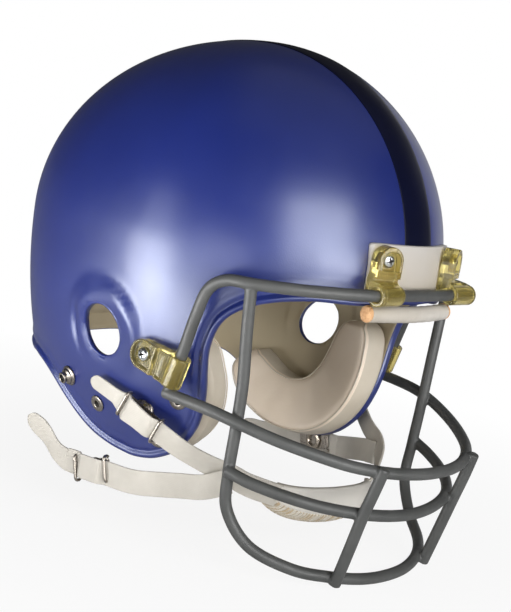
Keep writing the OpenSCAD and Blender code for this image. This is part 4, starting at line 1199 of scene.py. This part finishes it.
def make_cup():
    u, v = np.meshgrid(np.linspace(-1, 1, 361), np.linspace(0, 1, 90))
    rolled = 1.5 * (1 - quarter(np.minimum(np.minimum(v, 1 - v) / 0.07, np.minimum(1 + u, 1 - u) / 0.03)))
    ribs = 0.55 * (0.5 + 0.5 * np.cos(u * 122)) * smooth(0.42, 0.46, v) * smooth(0.68, 0.64, v)
    quilt = 0.6 * (0.5 + 0.5 * np.cos(u * 80 + v * 100)) * smooth(0.70, 0.73, v) * smooth(0.95, 0.9, v)
    seam = 0.6 * (np.exp(-((v - 0.42) / 0.012) ** 2) + np.exp(-((v - 0.69) / 0.012) ** 2))
    return sheet("chin_cup_cover", cup_point(u, v, rolled + ribs + quilt + seam), cup_point(u, v, CUP_WALL),
                 ["cup", "ribbed"], v > 0.42)


def make_cup_liner():
    e = LINER_EDGE
    u, v = np.meshgrid(np.linspace(-e, e, 160), np.linspace(1 - e, e, 50))
    puff = quarter(np.minimum(np.minimum(v - (1 - e), e - v) / 0.12, np.minimum(e + u, e - u) / 0.06))
    quilt = 0.5 * np.exp(-(np.sin(u * 9) / 0.12) ** 2) + 0.4 * np.exp(-((v - 0.5) / 0.02) ** 2)
    return sheet("chin_cup_padding", cup_point(u, v, CUP_WALL + 0.1),
                 cup_point(u, v, CUP_WALL + 0.9 + 2.2 * puff - quilt * puff), ["liner"])


place(make_cup(), "chin_strap", ["chin_cup"])
liner = place(make_cup_liner(), "chin_strap", ["chin_cup_liner"])


# floor, world and lamps
def shown_rays(tree, gloss):
    """1 for camera rays and for those that pass a clear body, a share of 1 for those that a gloss sends on."""
    rays = node(tree, "LightPath").outputs
    total = node(tree, "Math", {0: rays["Is Glossy Ray"], 1: gloss}, operation="MULTIPLY")
    for name in ("Is Camera Ray", "Is Transmission Ray"):
        total = node(tree, "Math", {0: total.outputs[0], 1: rays[name]}, operation="MAXIMUM")
    return total.outputs[0]


def fresh_tree(owner):
    owner.use_nodes = True
    owner.node_tree.nodes.clear()
    return owner.node_tree


def finish_tree(tree, share, first, second, output):
    """Mixes two shaders by a share into the tree's output."""
    mixed = node(tree, "MixShader", {0: share, 1: first.outputs[0], 2: second.outputs[0]})
    node(tree, output, {"Surface": mixed.outputs[0]})


def make_floor():
    z, size = -0.1235, 6.0
    data = bpy.data.meshes.new("floor")
    data.from_pydata([(-size, -size, z), (size, -size, z), (size, size, z), (-size, size, z)], [], [(0, 1, 2, 3)])
    mat = bpy.data.materials.new("floor_white")
    tree = fresh_tree(mat)
    # the shadow stays near the object and the floor turns plain white away from it
    place_on = node(tree, "TexCoord").outputs["Object"]
    reach = node(tree, "VectorMath", {0: place_on}, operation="LENGTH").outputs["Value"]
    share = node(tree, "MapRange", {"Value": reach, "From Min": 0.12, "From Max": 0.55,
                                    "To Min": 0.87, "To Max": 1.0}).outputs["Result"]
    seen = node(tree, "Math", {0: share, 1: shown_rays(tree, 0.1)}, operation="MULTIPLY").outputs[0]
    finish_tree(tree, seen, node(tree, "BsdfDiffuse", {"Color": (0.93, 0.93, 0.93, 1)}),
                node(tree, "Emission", {"Color": WHITE, "Strength": 1.0}), "OutputMaterial")
    data.materials.append(mat)
    linked("floor", data)


def make_world():
    """Surroundings seen as white, which light the object as a dim floor under a dark ceiling."""
    world = bpy.data.worlds.new("studio")
    bpy.context.scene.world = world
    tree = fresh_tree(world)
    way = node(tree, "SeparateXYZ", {0: node(tree, "TexCoord").outputs["Generated"]}).outputs["Z"]
    height = node(tree, "MapRange", {"Value": way, "From Min": -1, "From Max": 1}).outputs["Result"]
    stops = [(0.0, 0.25), (0.49, 0.16), (0.53, 0.06), (0.65, 0.04), (1.0, 0.04)]
    tones = ramp(tree, height, [(at, (grey, grey, grey, 1)) for at, grey in stops])
    finish_tree(tree, shown_rays(tree, 0.02), node(tree, "Background", {"Color": tones, "Strength": 1.0}),
                node(tree, "Background", {"Color": WHITE, "Strength": 1.0}), "OutputWorld")


make_floor()
make_world()


def area_lamp(name, direction, distance, size, size_y, watts, target=(0, 0, 0.03)):
    data = bpy.data.lights.new(name, "AREA")
    data.shape = "RECTANGLE"
    data.size, data.size_y, data.energy = size, size_y, watts
    lamp = linked(name, data)
    lamp.location = Vector(target) + Vector(direction).normalized() * distance
    lamp.visible_camera = False
    lamp.rotation_euler = (Vector(target) - lamp.location).to_track_quat("-Z", "Y").to_euler()
    return lamp


area_lamp("key_front_right", (-0.41, -0.86, 0.25), 1.6, 1.05, 1.0, 19.5)
area_lamp("side_right_low", (-0.92, 0.30, -0.12), 0.62, 0.34, 0.15, 1.6, (-0.02, -0.01, 0.02))
area_lamp("side_right_floor", (0, 0, -1), 0.121, 0.36, 0.34, 3.8, (-0.53, 0.08, 0)).rotation_euler = (math.pi, 0, 0)
area_lamp("side_right_tall", (-0.94, 0.30, 0.14), 1.1, 0.4, 0.4, 0.8)
area_lamp("side_front", (-0.95, -0.32, -0.03), 0.9, 0.35, 0.2, 0.6)
area_lamp("fill_left", (0.97, 0.1, 0.2), 1.8, 1.2, 1.0, 1.6)
area_lamp("fill_above", (0.1, -0.2, 1.0), 2.2, 2.4, 2.4, 2.5)
area_lamp("low_front", (-0.05, -0.98, -0.02), 1.8, 1.4, 0.3, 11)

# finish
bpy.context.scene.view_settings.view_transform = "Standard"
bpy.context.view_layer.update()
